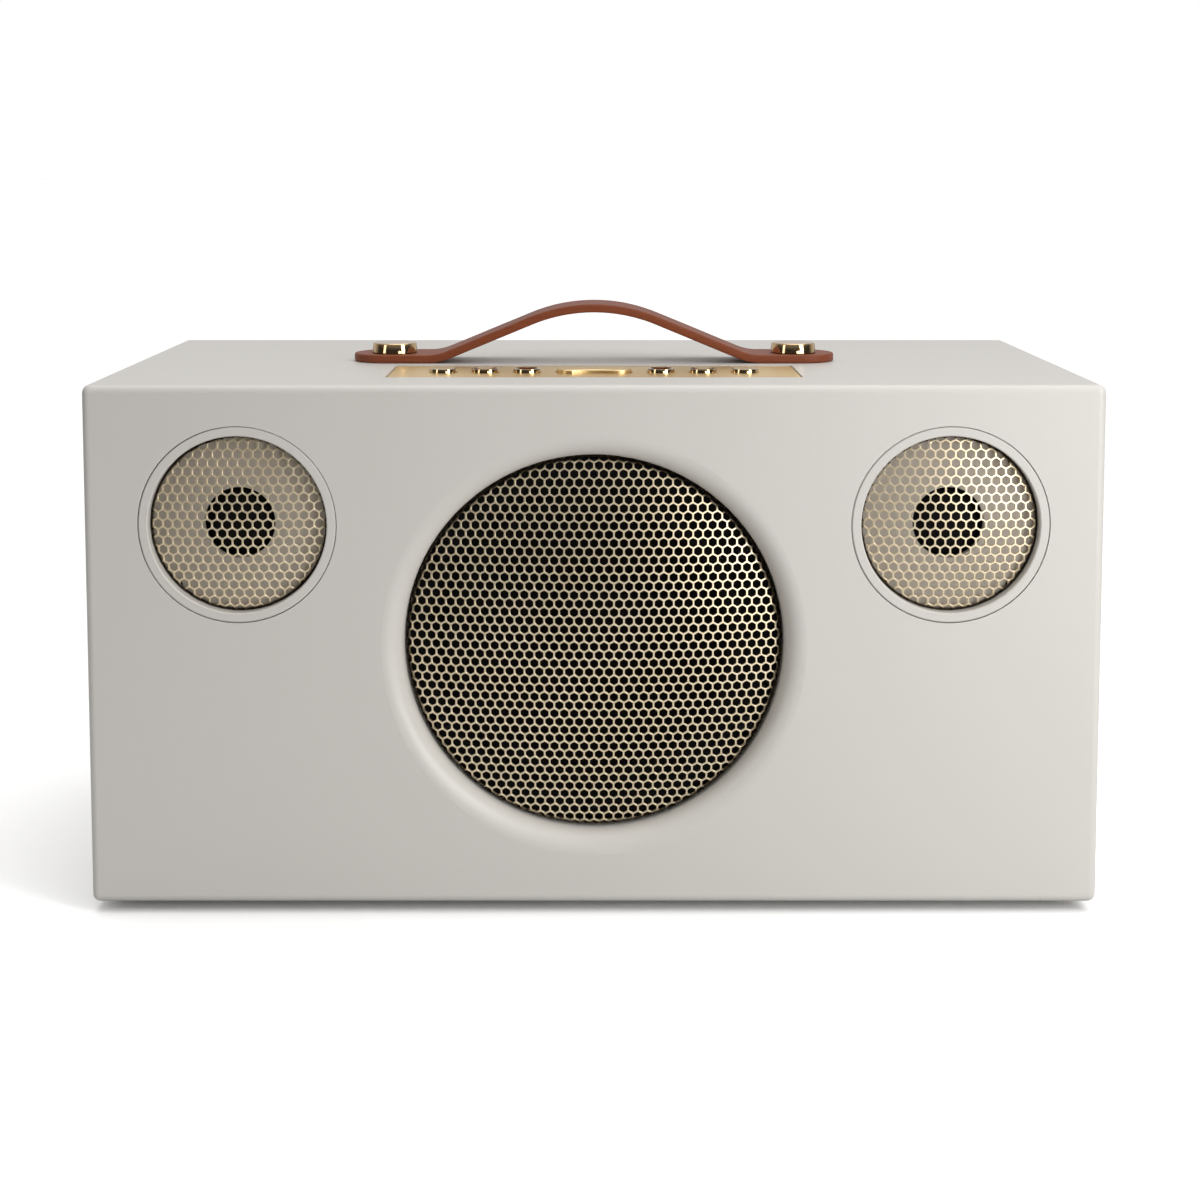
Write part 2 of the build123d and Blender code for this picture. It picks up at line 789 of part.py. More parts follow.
tweeter_head_y = front_y + ring_depth + head_gap
with BuildPart() as tweeter_screws:
    with BuildSketch(face_plane(tweeter_head_y)):
        with Locations(*tweeter_screw_points):
            Circle(tweeter_screw_head)
    extrude(amount=-tweeter_head_height)
    with BuildSketch(face_plane(tweeter_head_y)):
        with Locations(*tweeter_screw_points):
            Circle(tweeter_screw_radius)
    extrude(amount=-tweeter_screw_length)
save(tweeter_screws.part, "tweeter_screws")

# ---------------------------------------------------------------- control panel in the top
panel_top = top_z - panel_sunk
panel_under = panel_top - panel_thickness
guide_drop = 2.4
board_drop = 8.6
guide_top = panel_under - guide_drop
guide_sheet = 1.2
board_top = panel_under - board_drop
board_thickness = 1.6
switch_body = 6.0
switch_height = 3.2
plunger_radius = 1.6
plunger_height = 0.5
switch_top = board_top + switch_height + plunger_height
stem_radius = 2.0
stem_end_gap = 0.05
stem_foot = switch_top + button_travel + stem_end_gap
button_lip = 1.2  # keeps a button from lifting out
flange_radius = button_radius + button_lip
flange_thickness = 1.0
frame_room = 1.0
frame_width = window_width - frame_room
frame_depth = window_depth - frame_room
post_radius = 2.4
post_inset_x = 1.0
post_inset_y = 0.6
post_x = frame_width / 2 - post_radius - post_inset_x
post_y = frame_depth / 2 - post_radius - post_inset_y
pin_drop = 3.0
pin_z = panel_under - pin_drop
ear_thickness = 2.4
ear_width = 6.0
ear_below_pin = 2.2
ear_height = 4.3
ear_gap = 0.4
rocker_slot_room = 3.0
volume_foot_x = 10.0
rocker_foot_gap = volume_foot_x * tan(radians(rocker_swing)) + 0.15
button_places = [
    (f"button_{side_name}_{place}", side * (first_button + number * button_pitch))
    for side_name, side in sides
    for number, place in enumerate(("inner", "middle", "outer"))
]
button_points = [(x, panel_y) for _, x in button_places]
volume_foot_points = [(side * volume_foot_x, panel_y) for _, side in sides]


def rocker_outline(gap):
    """Dog-bone outline of the volume rocker, larger all round by a gap."""
    length = rocker_length + 2 * gap
    width = rocker_width + 2 * gap
    waist_centre = rocker_width / 2 - rocker_waist_depth + rocker_waist_radius
    with BuildSketch(Plane.XY) as outline:
        SlotOverall(length, width)
        with Locations((0, -waist_centre), (0, waist_centre)):
            Circle(rocker_waist_radius - gap, mode=Mode.SUBTRACT)
    return outline.sketch


with BuildPart() as control_panel:
    with BuildSketch(Plane.XY.offset(panel_under)):
        with Locations((0, panel_y)):
            RectangleRounded(panel_width, panel_depth, panel_corner_radius)
    extrude(amount=panel_thickness)
    chamfer(control_panel.edges().group_by(Axis.Z)[-1], length=panel_chamfer)
    with BuildSketch(Plane.XY.offset(panel_under)):
        with Locations(*button_points):
            Circle(button_radius + button_gap)
        with Locations((0, panel_y)):
            add(rocker_outline(rocker_gap))
    extrude(amount=panel_thickness, mode=Mode.SUBTRACT)
save(control_panel.part, "control_panel")

# Moulded frame under the panel: it guides the buttons and holds the rocker's pin
with BuildPart() as control_frame:
    with BuildSketch(Plane.XY.offset(guide_top - guide_sheet)):
        with Locations((0, panel_y)):
            Rectangle(frame_width, frame_depth)
            Rectangle(rocker_length + rocker_slot_room, rocker_width + 2 * ear_gap, mode=Mode.SUBTRACT)
        with Locations(*button_points):
            Circle(stem_radius + button_gap, mode=Mode.SUBTRACT)
    extrude(amount=guide_sheet)
    with BuildSketch(Plane.XY.offset(board_top)):
        with Locations((0, panel_y)):
            with GridLocations(2 * post_x, 2 * post_y, 2, 2):
                Circle(post_radius)
    extrude(amount=panel_under - board_top)
    with BuildSketch(Plane.XY.offset(pin_z - ear_below_pin)):
        with Locations((0, panel_y)):
            with GridLocations(0, rocker_width + 2 * ear_gap + ear_thickness, 1, 2):
                Rectangle(ear_width, ear_thickness)
    extrude(amount=ear_height)
    with BuildSketch(face_plane(panel_y)):
        with Locations((0, pin_z)):
            Circle(pivot_pin_radius)
    extrude(amount=frame_depth / 2, both=True, mode=Mode.SUBTRACT)
save(control_frame.part, "control_frame")

with BuildPart() as control_board:
    with BuildSketch(Plane.XY.offset(board_top)):
        with Locations((0, panel_y)):
            Rectangle(frame_width, frame_depth)
    extrude(amount=-board_thickness)
save(control_board.part, "control_board")

with BuildPart() as tact_switches:
    with BuildSketch(Plane.XY.offset(board_top)):
        with Locations(*button_points, *volume_foot_points):
            Rectangle(switch_body, switch_body)
    extrude(amount=switch_height)
    with BuildSketch(Plane.XY.offset(board_top + switch_height)):
        with Locations(*button_points, *volume_foot_points):
            Circle(plunger_radius)
    extrude(amount=plunger_height)
save(tact_switches.part, "tact_switches")

button_rim = 0.7  # flat ring round the hollow
button_chamfer = 0.3
dish_radius = button_radius - button_rim
dish_curve = (dish_radius**2 + button_dish**2) / (2 * button_dish)
for button_name, x in button_places:
    with BuildPart() as button:
        with BuildSketch(face_plane(panel_y)):
            with BuildLine():
                cap_z = panel_top + button_rise
                hollow = RadiusArc((x, cap_z - button_dish), (x + dish_radius, cap_z), -dish_curve)
                Polyline(
                    hollow @ 1,
                    (x + button_radius - button_chamfer, cap_z),
                    (x + button_radius, cap_z - button_chamfer),
                    (x + button_radius, panel_under),
                    (x + flange_radius, panel_under),
                    (x + flange_radius, panel_under - flange_thickness),
                    (x + stem_radius, panel_under - flange_thickness),
                    (x + stem_radius, stem_foot),
                    (x, stem_foot),
                    hollow @ 0,
                )
            make_face()
        revolve(axis=Axis((x, panel_y, 0), (0, 0, 1)))
    save(button.part, button_name)

rocker_top = panel_top + rocker_rise
rocker_under = panel_under - rocker_body_drop
with BuildPart() as volume_rocker:
    with BuildSketch(Plane.XY.offset(rocker_under)):
        with Locations((0, panel_y)):
            add(rocker_outline(0))
    extrude(amount=rocker_top - rocker_under)
    fillet(volume_rocker.edges().group_by(Axis.Z)[-1], radius=rocker_fillet)
    with BuildSketch(Plane.XY.offset(rocker_under)):
        with Locations(*volume_foot_points):
            Circle(stem_radius)
    extrude(amount=switch_top + rocker_foot_gap - rocker_under)
    with BuildSketch(face_plane(panel_y)):
        with Locations((0, pin_z)):
            Circle(rocker_hub_radius)
        with Locations((0, (pin_z + rocker_under) / 2)):
            Rectangle(2 * rocker_hub_radius, rocker_under - pin_z)
        with Locations((0, pin_z)):
            Circle(pivot_pin_radius + running_gap, mode=Mode.SUBTRACT)
    extrude(amount=rocker_hub_width / 2, both=True)
save(volume_rocker.part, "volume_rocker")

with BuildPart() as rocker_pin:
    with BuildSketch(face_plane(panel_y)):
        with Locations((0, pin_z)):
            Circle(pivot_pin_radius)
    extrude(amount=rocker_width / 2 + ear_gap + ear_thickness, both=True)
save(rocker_pin.part, "rocker_pin")

# ---------------------------------------------------------------- carrying strap
strap_angle = radians(strap_flank_angle)
crown_run = strap_crown_radius * sin(strap_angle)
crown_drop = strap_crown_radius * (1 - cos(strap_angle))
foot_run = strap_foot_radius * sin(strap_angle)
foot_rise = strap_foot_radius * (1 - cos(strap_angle))
flank_run = (strap_rise - crown_drop - foot_rise) / tan(strap_angle)
arch_half = crown_run + flank_run + foot_run
bolt_points = [(side * bolt_offset, strap_y) for _, side in sides]


def strap_face_line(lift):
    """One face of the strap seen from the front, lifted off its underside, in the open line builder."""
    crown_radius = strap_crown_radius + lift
    foot_radius = strap_foot_radius - lift
    crown = CenterArc(
        (0, strap_rise - strap_crown_radius), crown_radius, 90 - strap_flank_angle, 2 * strap_flank_angle
    )
    left_foot = CenterArc((-arch_half, strap_foot_radius), foot_radius, -90, strap_flank_angle)
    right_foot = CenterArc((arch_half, strap_foot_radius), foot_radius, -90, -strap_flank_angle)
    Line((-strap_length / 2, lift), left_foot @ 0)
    Line(left_foot @ 1, crown @ 1)
    Line(crown @ 0, right_foot @ 1)
    Line(right_foot @ 0, (strap_length / 2, lift))


with BuildPart() as strap:
    with BuildSketch(Plane(origin=(0, strap_y, top_z), x_dir=(1, 0, 0), z_dir=(0, -1, 0))):
        with BuildLine():
            strap_face_line(0)
            strap_face_line(strap_thickness)
            for _, side in sides:
                Line((side * strap_length / 2, 0), (side * strap_length / 2, strap_thickness))
        make_face()
    extrude(amount=strap_width / 2, both=True)
    with BuildSketch(Plane.XY.offset(top_z)):
        with Locations((0, strap_y)):
            SlotOverall(strap_length, strap_width)
    extrude(amount=strap_rise + 2 * strap_thickness, mode=Mode.INTERSECT)
    with BuildSketch(Plane.XY.offset(top_z)):
        with Locations(*bolt_points):
            Circle(bolt_shank_radius + bolt_gap)
    extrude(amount=strap_thickness, mode=Mode.SUBTRACT)
save(strap.part, "strap")

nut_thickness = 4.0
nut_corner_radius = 5.8
bolt_chamfer = 0.5
bolt_tail = 1.5  # thread past the nut
nut_flange_radius = 9.0
nut_flange_thickness = 1.5
with BuildPart() as strap_bolts:
    with BuildSketch(Plane.XY.offset(top_z + strap_thickness)):
        with Locations(*bolt_points):
            Circle(bolt_head_radius)
    extrude(amount=bolt_head_height)
    chamfer(strap_bolts.edges().group_by(Axis.Z)[-1], length=bolt_chamfer)
    with BuildSketch(Plane.XY.offset(top_z + strap_thickness)):
        with Locations(*bolt_points):
            Circle(bolt_shank_radius)
    extrude(amount=-(strap_thickness + wall + nut_flange_thickness + nut_thickness + bolt_tail))
save(strap_bolts.part, "strap_bolts")

with BuildPart() as strap_nuts:
    with BuildSketch(Plane.XY.offset(top_z - wall)):
        with Locations(*bolt_points):
            Circle(nut_flange_radius)
    extrude(amount=-nut_flange_thickness)
    with BuildSketch(Plane.XY.offset(top_z - wall - nut_flange_thickness)):
        with Locations(*bolt_points):
            RegularPolygon(nut_corner_radius, 6)
    extrude(amount=-nut_thickness)
    with BuildSketch(Plane.XY.offset(top_z - wall)):
        with Locations(*bolt_points):
            Circle(bolt_shank_radius)
    extrude(amount=-(nut_flange_thickness + nut_thickness), mode=Mode.SUBTRACT)
save(strap_nuts.part, "strap_nuts")

# ---------------------------------------------------------------- connector plate and what it holds
inlet_x = -50.0
inlet_width = 24.0
inlet_height = 15.0
inlet_depth = 20.0
inlet_lip = 1.5
inlet_lip_width = 2.0
inlet_mouth_length = 16.8
inlet_mouth_width = 8.4
inlet_mouth_depth = 13.0
inlet_pin_radius = 1.2
inlet_pin_pitch = 8.6
inlet_corner_radius = 2.0
socket_gap = 0.1  # all round a socket in the plate
pin_root = 1.0  # length of a pin inside the moulding
switch_x = -14.0
switch_width = 20.0
switch_frame_height = 14.0
switch_frame_wall = 1.6
switch_frame_depth = 16.0
switch_pivot_radius = 1.2
switch_gap = 0.35
switch_pivot_depth = 2.5
switch_face = 3.4  # pivot to the rocker's middle ridge
bezel_overlap = 1.5
bezel_height = 1.2
bezel_corner_radius = 1.0
switch_floor = 0.8
stub_length = 2.0  # each end of the pivot, out from the frame's wall
stub_end_inset = 0.4
switch_tail = 2.4  # pivot to the rocker's back
switch_tail_half = 3.2
switch_shoulder = 1.4
switch_end_room = 0.9
pair_x = 12.0
pair_radius = 3.0
pair_travel = 0.6
pair_rise = 1.2
pair_chamfer = 0.3
pair_lip = 1.0
pair_stem_radius = 1.2
pair_stem_length = 6.0
aux_x = 32.0
aux_body_radius = 4.2
aux_bore_radius = 1.8
aux_depth = 15.0
aux_collar = 0.8
aux_bore_length = 14.0
phono_points = [(48.0, plate_centre_height), (62.0, plate_centre_height)]
phono_radius = 4.1
phono_centre_radius = 1.65
phono_stand = 6.0
phono_body = 11.0
phono_collar_width = 1.2
phono_collar = 1.0
phono_bore_length = 9.0


def at_plate_height(x):
    """Point on the connector plate's middle line."""
    return (x, plate_centre_height)


with BuildPart() as connector_plate:
    with BuildSketch(face_plane(plate_outer_y)):
        with Locations(at_plate_height(0)):
            Rectangle(plate_width, plate_height)
        with Locations(at_plate_height(inlet_x)):
            Rectangle(inlet_width + 2 * socket_gap, inlet_height + 2 * socket_gap, mode=Mode.SUBTRACT)
        with Locations(at_plate_height(switch_x)):
            Rectangle(
                switch_width + 2 * socket_gap, switch_frame_height + 2 * socket_gap, mode=Mode.SUBTRACT
            )
        with Locations(at_plate_height(pair_x)):
            Circle(pair_radius + button_gap, mode=Mode.SUBTRACT)
        with Locations(at_plate_height(aux_x)):
            Circle(aux_body_radius + socket_gap, mode=Mode.SUBTRACT)
        with Locations(*phono_points):
            Circle(phono_radius + socket_gap, mode=Mode.SUBTRACT)
        with Locations(*plate_screw_points):
            Circle(plate_screw_radius + screw_gap, mode=Mode.SUBTRACT)
    extrude(amount=plate_thickness)
save(connector_plate.part, "connector_plate")
plate_screw_grip = 2.5
plate_screw_head = 2.3
plate_head_height = 1.4
save(
    screws_along_y(
        plate_screw_points,
        plate_outer_y,
        plate_thickness + plate_screw_grip,
        -1,
        plate_screw_radius,
        plate_screw_head,
        plate_head_height,
    ),
    "plate_screws",
)

with BuildPart() as mains_inlet:
    with BuildSketch(face_plane(plate_outer_y)):
        with Locations(at_plate_height(inlet_x)):
            Rectangle(inlet_width, inlet_height)
    extrude(amount=inlet_depth)
    with BuildSketch(face_plane(plate_outer_y)):
        with Locations(at_plate_height(inlet_x)):
            RectangleRounded(
                inlet_width + 2 * inlet_lip_width,
                inlet_height + 2 * inlet_lip_width,
                inlet_corner_radius,
            )
    extrude(amount=-inlet_lip)
    with BuildSketch(face_plane(plate_outer_y + inlet_lip)):
        with Locations(at_plate_height(inlet_x)):
            SlotOverall(inlet_mouth_length, inlet_mouth_width)
    extrude(amount=inlet_mouth_depth, mode=Mode.SUBTRACT)
    with BuildSketch(face_plane(plate_outer_y)):
        with Locations(*[at_plate_height(inlet_x + side * inlet_pin_pitch / 2) for _, side in sides]):
            Circle(inlet_pin_radius)
    extrude(amount=inlet_mouth_depth - inlet_lip + pin_root)
save(mains_inlet.part, "mains_inlet")

switch_pivot_plane = Plane(
    origin=(switch_x, plate_outer_y - switch_pivot_depth, plate_centre_height),
    x_dir=(0, 1, 0),
    z_dir=(1, 0, 0),
)
with BuildPart() as switch_frame:
    with BuildSketch(face_plane(plate_outer_y)):
        with Locations(at_plate_height(switch_x)):
            Rectangle(switch_width, switch_frame_height)
    extrude(amount=switch_frame_depth)
    with BuildSketch(face_plane(plate_outer_y)):
        with Locations(at_plate_height(switch_x)):
            RectangleRounded(
                switch_width + 2 * bezel_overlap, switch_frame_height + 2 * bezel_overlap, bezel_corner_radius
            )
    extrude(amount=-bezel_height)
    with BuildSketch(face_plane(plate_outer_y + bezel_height)):
        with Locations(at_plate_height(switch_x)):
            Rectangle(switch_width - 2 * switch_frame_wall, switch_frame_height - 2 * switch_frame_wall)
    extrude(amount=switch_frame_depth - bezel_height - switch_floor, mode=Mode.SUBTRACT)
    with BuildSketch(switch_pivot_plane):
        Circle(switch_pivot_radius)
    extrude(amount=switch_width / 2 - stub_end_inset, both=True)
    with BuildSketch(switch_pivot_plane):
        Circle(2 * switch_pivot_radius)
    extrude(amount=switch_width / 2 - switch_frame_wall - stub_length, both=True, mode=Mode.SUBTRACT)
save(switch_frame.part, "switch_frame")

# Rocker of the power switch, a shallow V over its pivot, drawn in the off position
switch_half = switch_frame_height / 2 - switch_frame_wall - switch_gap
switch_end = switch_half - switch_end_room
switch_rise = switch_half * tan(radians(switch_swing / 2))
with BuildPart() as power_switch:
    with BuildSketch(switch_pivot_plane):
        with BuildLine():
            Polyline(
                (-switch_tail, -switch_tail_half),
                (-switch_tail, switch_tail_half),
                (switch_shoulder, switch_end),
                (switch_face + 2 * switch_rise, switch_end),
                (switch_face, 0),
                (switch_face, -switch_end),
                (switch_shoulder, -switch_end),
                close=True,
            )
        make_face()
        Circle(switch_pivot_radius + running_gap, mode=Mode.SUBTRACT)
    extrude(amount=switch_width / 2 - switch_frame_wall - switch_gap, both=True)
save(power_switch.part, "power_switch")

with BuildPart() as pairing_button:
    with BuildSketch(face_plane(plate_outer_y + pair_rise)):
        with Locations(at_plate_height(pair_x)):
            Circle(pair_radius)
    extrude(amount=pair_rise + plate_thickness)
    chamfer(pairing_button.edges().group_by(Axis.Y)[-1], length=pair_chamfer)
    with BuildSketch(face_plane(plate_y)):
        with Locations(at_plate_height(pair_x)):
            Circle(pair_radius + pair_lip)
    extrude(amount=pair_lip)
    with BuildSketch(face_plane(plate_y - pair_lip)):
        with Locations(at_plate_height(pair_x)):
            Circle(pair_stem_radius)
    extrude(amount=pair_stem_length)
save(pairing_button.part, "pairing_button")

with BuildPart() as aux_socket:
    with BuildSketch(face_plane(plate_outer_y)):
        with Locations(at_plate_height(aux_x)):
            Circle(aux_body_radius)
    extrude(amount=aux_depth)
    with BuildSketch(face_plane(plate_outer_y)):
        with Locations(at_plate_height(aux_x)):
            Circle(aux_body_radius + aux_collar)
    extrude(amount=-aux_collar)
    with BuildSketch(face_plane(plate_outer_y + aux_collar)):
        with Locations(at_plate_height(aux_x)):
            Circle(aux_bore_radius)
    extrude(amount=aux_bore_length, mode=Mode.SUBTRACT)
save(aux_socket.part, "aux_socket")

with BuildPart() as phono_sockets:
    with BuildSketch(face_plane(plate_outer_y + phono_stand)):
        with Locations(*phono_points):
            Circle(phono_radius)
    extrude(amount=phono_stand + phono_body)
    with BuildSketch(face_plane(plate_outer_y)):
        with Locations(*phono_points):
            Circle(phono_radius + phono_collar_width)
    extrude(amount=-phono_collar)
    with BuildSketch(face_plane(plate_outer_y + phono_stand)):
        with Locations(*phono_points):
            Circle(phono_centre_radius)
    extrude(amount=phono_bore_length, mode=Mode.SUBTRACT)
save(phono_sockets.part, "phono_sockets")

# ---------------------------------------------------------------- electronics inside
inlet_to_board = 4.0
amplifier_y = plate_outer_y - inlet_depth - inlet_to_board
amplifier_height = 46.0
amplifier_width = 140.0
amplifier_standoff_x = amplifier_width - 10.0
amplifier_standoff_y = amplifier_height - 14.0
standoff_radius = 3.0
chip_size = 14.0
chip_height = 2.0
chip_x = (-48.0, -24.0)
filter_capacitor_radius = 5.0
filter_capacitor_height = 12.0
filter_capacitor_x = (40.0, 54.0)
pair_switch_radius = 2.6
pair_switch_y = plate_y - pair_lip - pair_stem_length - pair_travel - head_gap
with BuildPart() as amplifier_board:
    with BuildSketch(face_plane(amplifier_y)):
        with Locations(at_plate_height(0)):
            Rectangle(amplifier_width, amplifier_height)
    extrude(amount=board_thickness)
    # Driver chips and filter capacitors on the side that faces the speakers
    with BuildSketch(face_plane(amplifier_y - board_thickness)):
        with Locations(*[at_plate_height(x) for x in chip_x]):
            Rectangle(chip_size, chip_size)
    extrude(amount=chip_height)
    with BuildSketch(face_plane(amplifier_y - board_thickness)):
        with Locations(*[at_plate_height(x) for x in filter_capacitor_x]):
            Circle(filter_capacitor_radius)
    extrude(amount=filter_capacitor_height)
    # Standoffs to the connector plate, and the switch behind the pairing button
    with BuildSketch(face_plane(plate_y)):
        with Locations(at_plate_height(0)):
            with GridLocations(amplifier_standoff_x, amplifier_standoff_y, 2, 2):
                Circle(standoff_radius)
    extrude(amount=plate_y - amplifier_y)
    with BuildSketch(face_plane(pair_switch_y)):
        with Locations(at_plate_height(pair_x)):
            Circle(pair_switch_radius)
    extrude(amount=pair_switch_y - amplifier_y)
save(amplifier_board.part, "amplifier_board")

sink_x = 6.0
sink_width = 44.0
sink_height = amplifier_height - 8.0
sink_base = 3.0
sink_fin = 9.0
fin_thickness = 1.4
fin_count = 7
with BuildPart() as heat_sink:
    with BuildSketch(face_plane(amplifier_y - board_thickness)):
        with Locations(at_plate_height(sink_x)):
            Rectangle(sink_width, sink_height)
    extrude(amount=sink_base)
    with BuildSketch(face_plane(amplifier_y - board_thickness - sink_base)):
        with Locations(at_plate_height(sink_x)):
            with GridLocations((sink_width - fin_thickness) / (fin_count - 1), 0, fin_count, 1):
                Rectangle(fin_thickness, sink_height)
    extrude(amount=sink_fin)
save(heat_sink.part, "heat_sink")

supply_width = 110.0
supply_depth = 54.0
supply_y = 22.0
supply_standoff = 5.0
supply_standoff_inset = 10.0
reservoir_radius = 9.0
reservoir_height = 20.0
reservoir_points = [(-34.0, supply_y), (32.0, supply_y - 12.0), (32.0, supply_y + 12.0)]
transformer_width = 32.0
transformer_depth = 27.0
transformer_height = 22.0
transformer_fillet = 2.0
floor_z = bottom_z + wall
supply_z = floor_z + supply_standoff
with BuildPart() as power_supply_board:
    with BuildSketch(Plane.XY.offset(supply_z)):
        with Locations((0, supply_y)):
            Rectangle(supply_width, supply_depth)
    extrude(amount=board_thickness)
    with BuildSketch(Plane.XY.offset(floor_z)):
        with Locations((0, supply_y)):
            with GridLocations(
                supply_width - supply_standoff_inset, supply_depth - supply_standoff_inset, 2, 2
            ):
                Circle(standoff_radius)
    extrude(amount=supply_standoff)
    with BuildSketch(Plane.XY.offset(supply_z + board_thickness)):
        with Locations(*reservoir_points):
            Circle(reservoir_radius)
    extrude(amount=reservoir_height)
save(power_supply_board.part, "power_supply_board")

with BuildPart() as mains_transformer:
    with BuildSketch(Plane.XY.offset(supply_z + board_thickness)):
        with Locations((0, supply_y)):
            Rectangle(transformer_width, transformer_depth)
    extrude(amount=transformer_height)
    fillet(mains_transformer.edges().filter_by(Axis.Z), radius=transformer_fillet)
save(mains_transformer.part, "mains_transformer")

ceiling_z = top_z - wall
wireless_y = 42.0
wireless_width = 52.0
wireless_depth = 34.0
wireless_standoff = 6.0
wireless_standoff_radius = 2.5
wireless_standoff_inset = 8.0
can_x = -6.0
can_width = 24.0
can_depth = 20.0
can_height = 2.5
with BuildPart() as wireless_board:
    with BuildSketch(Plane.XY.offset(ceiling_z - wireless_standoff)):
        with Locations((0, wireless_y)):
            Rectangle(wireless_width, wireless_depth)
    extrude(amount=-board_thickness)
    with BuildSketch(Plane.XY.offset(ceiling_z)):
        with Locations((0, wireless_y)):
            with GridLocations(
                wireless_width - wireless_standoff_inset, wireless_depth - wireless_standoff_inset, 2, 2
            ):
                Circle(wireless_standoff_radius)
    extrude(amount=-wireless_standoff)
    # Shield over the radio
    with BuildSketch(Plane.XY.offset(ceiling_z - wireless_standoff - board_thickness)):
        with Locations((can_x, wireless_y)):
            Rectangle(can_width, can_depth)
    extrude(amount=-can_height)
save(wireless_board.part, "wireless_board")

pad_thickness = 10.0
pad_length = 90.0
pad_height = 150.0
pad_y = 5.0
with BuildPart() as damping_pads:
    for _, side in sides:
        with BuildSketch(Plane.YZ.offset(side * (inner_width / 2 - pad_thickness / 2))):
            with Locations((pad_y, mid_z)):
                Rectangle(pad_length, pad_height)
        extrude(amount=pad_thickness / 2, both=True)
save(damping_pads.part, "damping_pads")
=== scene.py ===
"""Looks for a painted table radio with domed brass grilles, a brass control strip and a leather strap.

Every length is in metres in the frame of the CAD model: +Z up, the front looking along -Y.
"""

import logging
import math
from dataclasses import dataclass, field
from enum import Enum
from typing import Any

import bmesh
import bpy
import numpy as np
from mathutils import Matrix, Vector, noise


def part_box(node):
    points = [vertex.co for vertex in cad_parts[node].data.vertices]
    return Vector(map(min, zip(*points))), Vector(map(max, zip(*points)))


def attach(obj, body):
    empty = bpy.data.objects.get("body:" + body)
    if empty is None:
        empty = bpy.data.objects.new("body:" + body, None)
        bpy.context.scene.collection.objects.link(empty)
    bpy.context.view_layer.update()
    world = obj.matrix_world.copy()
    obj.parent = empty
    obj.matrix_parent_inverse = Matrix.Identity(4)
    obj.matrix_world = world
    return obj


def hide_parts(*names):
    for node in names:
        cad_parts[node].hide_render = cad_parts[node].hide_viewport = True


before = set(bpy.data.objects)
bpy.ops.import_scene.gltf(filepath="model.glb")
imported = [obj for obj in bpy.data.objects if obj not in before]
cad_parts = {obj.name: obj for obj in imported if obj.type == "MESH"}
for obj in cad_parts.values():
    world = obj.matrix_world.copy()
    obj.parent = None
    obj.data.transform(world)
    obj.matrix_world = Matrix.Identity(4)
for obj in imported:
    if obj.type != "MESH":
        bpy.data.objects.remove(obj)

MM = 0.001
# Points closer than the first are welded, and edges shorter than the second are dropped
WELD = 0.002 * MM
TOO_SHORT = 0.001 * MM
UP = Vector((0, 0, 1))
ACROSS = Vector((1, 0, 0))
INWARDS = Vector((0, 1, 0))
LOG = logging.getLogger("table_radio")


# ---------------------------------------------------------------- colour and node helpers
def linear(hex_colour: str) -> tuple[float, float, float, float]:
    """Turns an sRGB hex colour to linear light.

    Args:
        hex_colour: six hex digits after a hash.

    Returns:
        Red, green, blue and an alpha of one.
    """
    parts = [int(hex_colour[i : i + 2], 16) / 255 for i in (1, 3, 5)]
    light = [c / 12.92 if c <= 0.04045 else ((c + 0.055) / 1.055) ** 2.4 for c in parts]
    return (light[0], light[1], light[2], 1.0)


def add_node(
    tree: bpy.types.NodeTree, kind: str, settings: dict[str, Any] | None = None, **inputs: Any
) -> bpy.types.Node:
    """Adds a node, sets its properties and fills its inputs.

    Args:
        tree: the node tree that gets the node.
        kind: the node's type, without the word ShaderNode.
        settings: properties of the node by name.
        inputs: values or sockets to link, by input name with underscores for spaces, or i0, i1 and
            so on for the input at that place.

    Returns:
        The new node.
    """
    node = tree.nodes.new(f"ShaderNode{kind}")
    for name, value in (settings or {}).items():
        setattr(node, name, value)
    for name, value in inputs.items():
        is_place = name[0] == "i" and name[1:].isdigit()
        socket = node.inputs[int(name[1:])] if is_place else node.inputs[name.replace("_", " ")]
        if isinstance(value, bpy.types.NodeSocket):
            tree.links.new(value, socket)
        else:
            socket.default_value = value
    return node


def mixed(tree: bpy.types.NodeTree, share: Any, first: Any, second: Any) -> bpy.types.NodeSocket:
    """Adds a node that mixes two colours.

    Args:
        tree: the node tree that gets the node.
        share: how much of the second colour shows, from zero to one.
        first: the colour at zero.
        second: the colour at one.

    Returns:
        The mixed colour.
    """
    return add_node(tree, "Mix", {"data_type": "RGBA"}, i0=share, i6=first, i7=second).outputs[2]


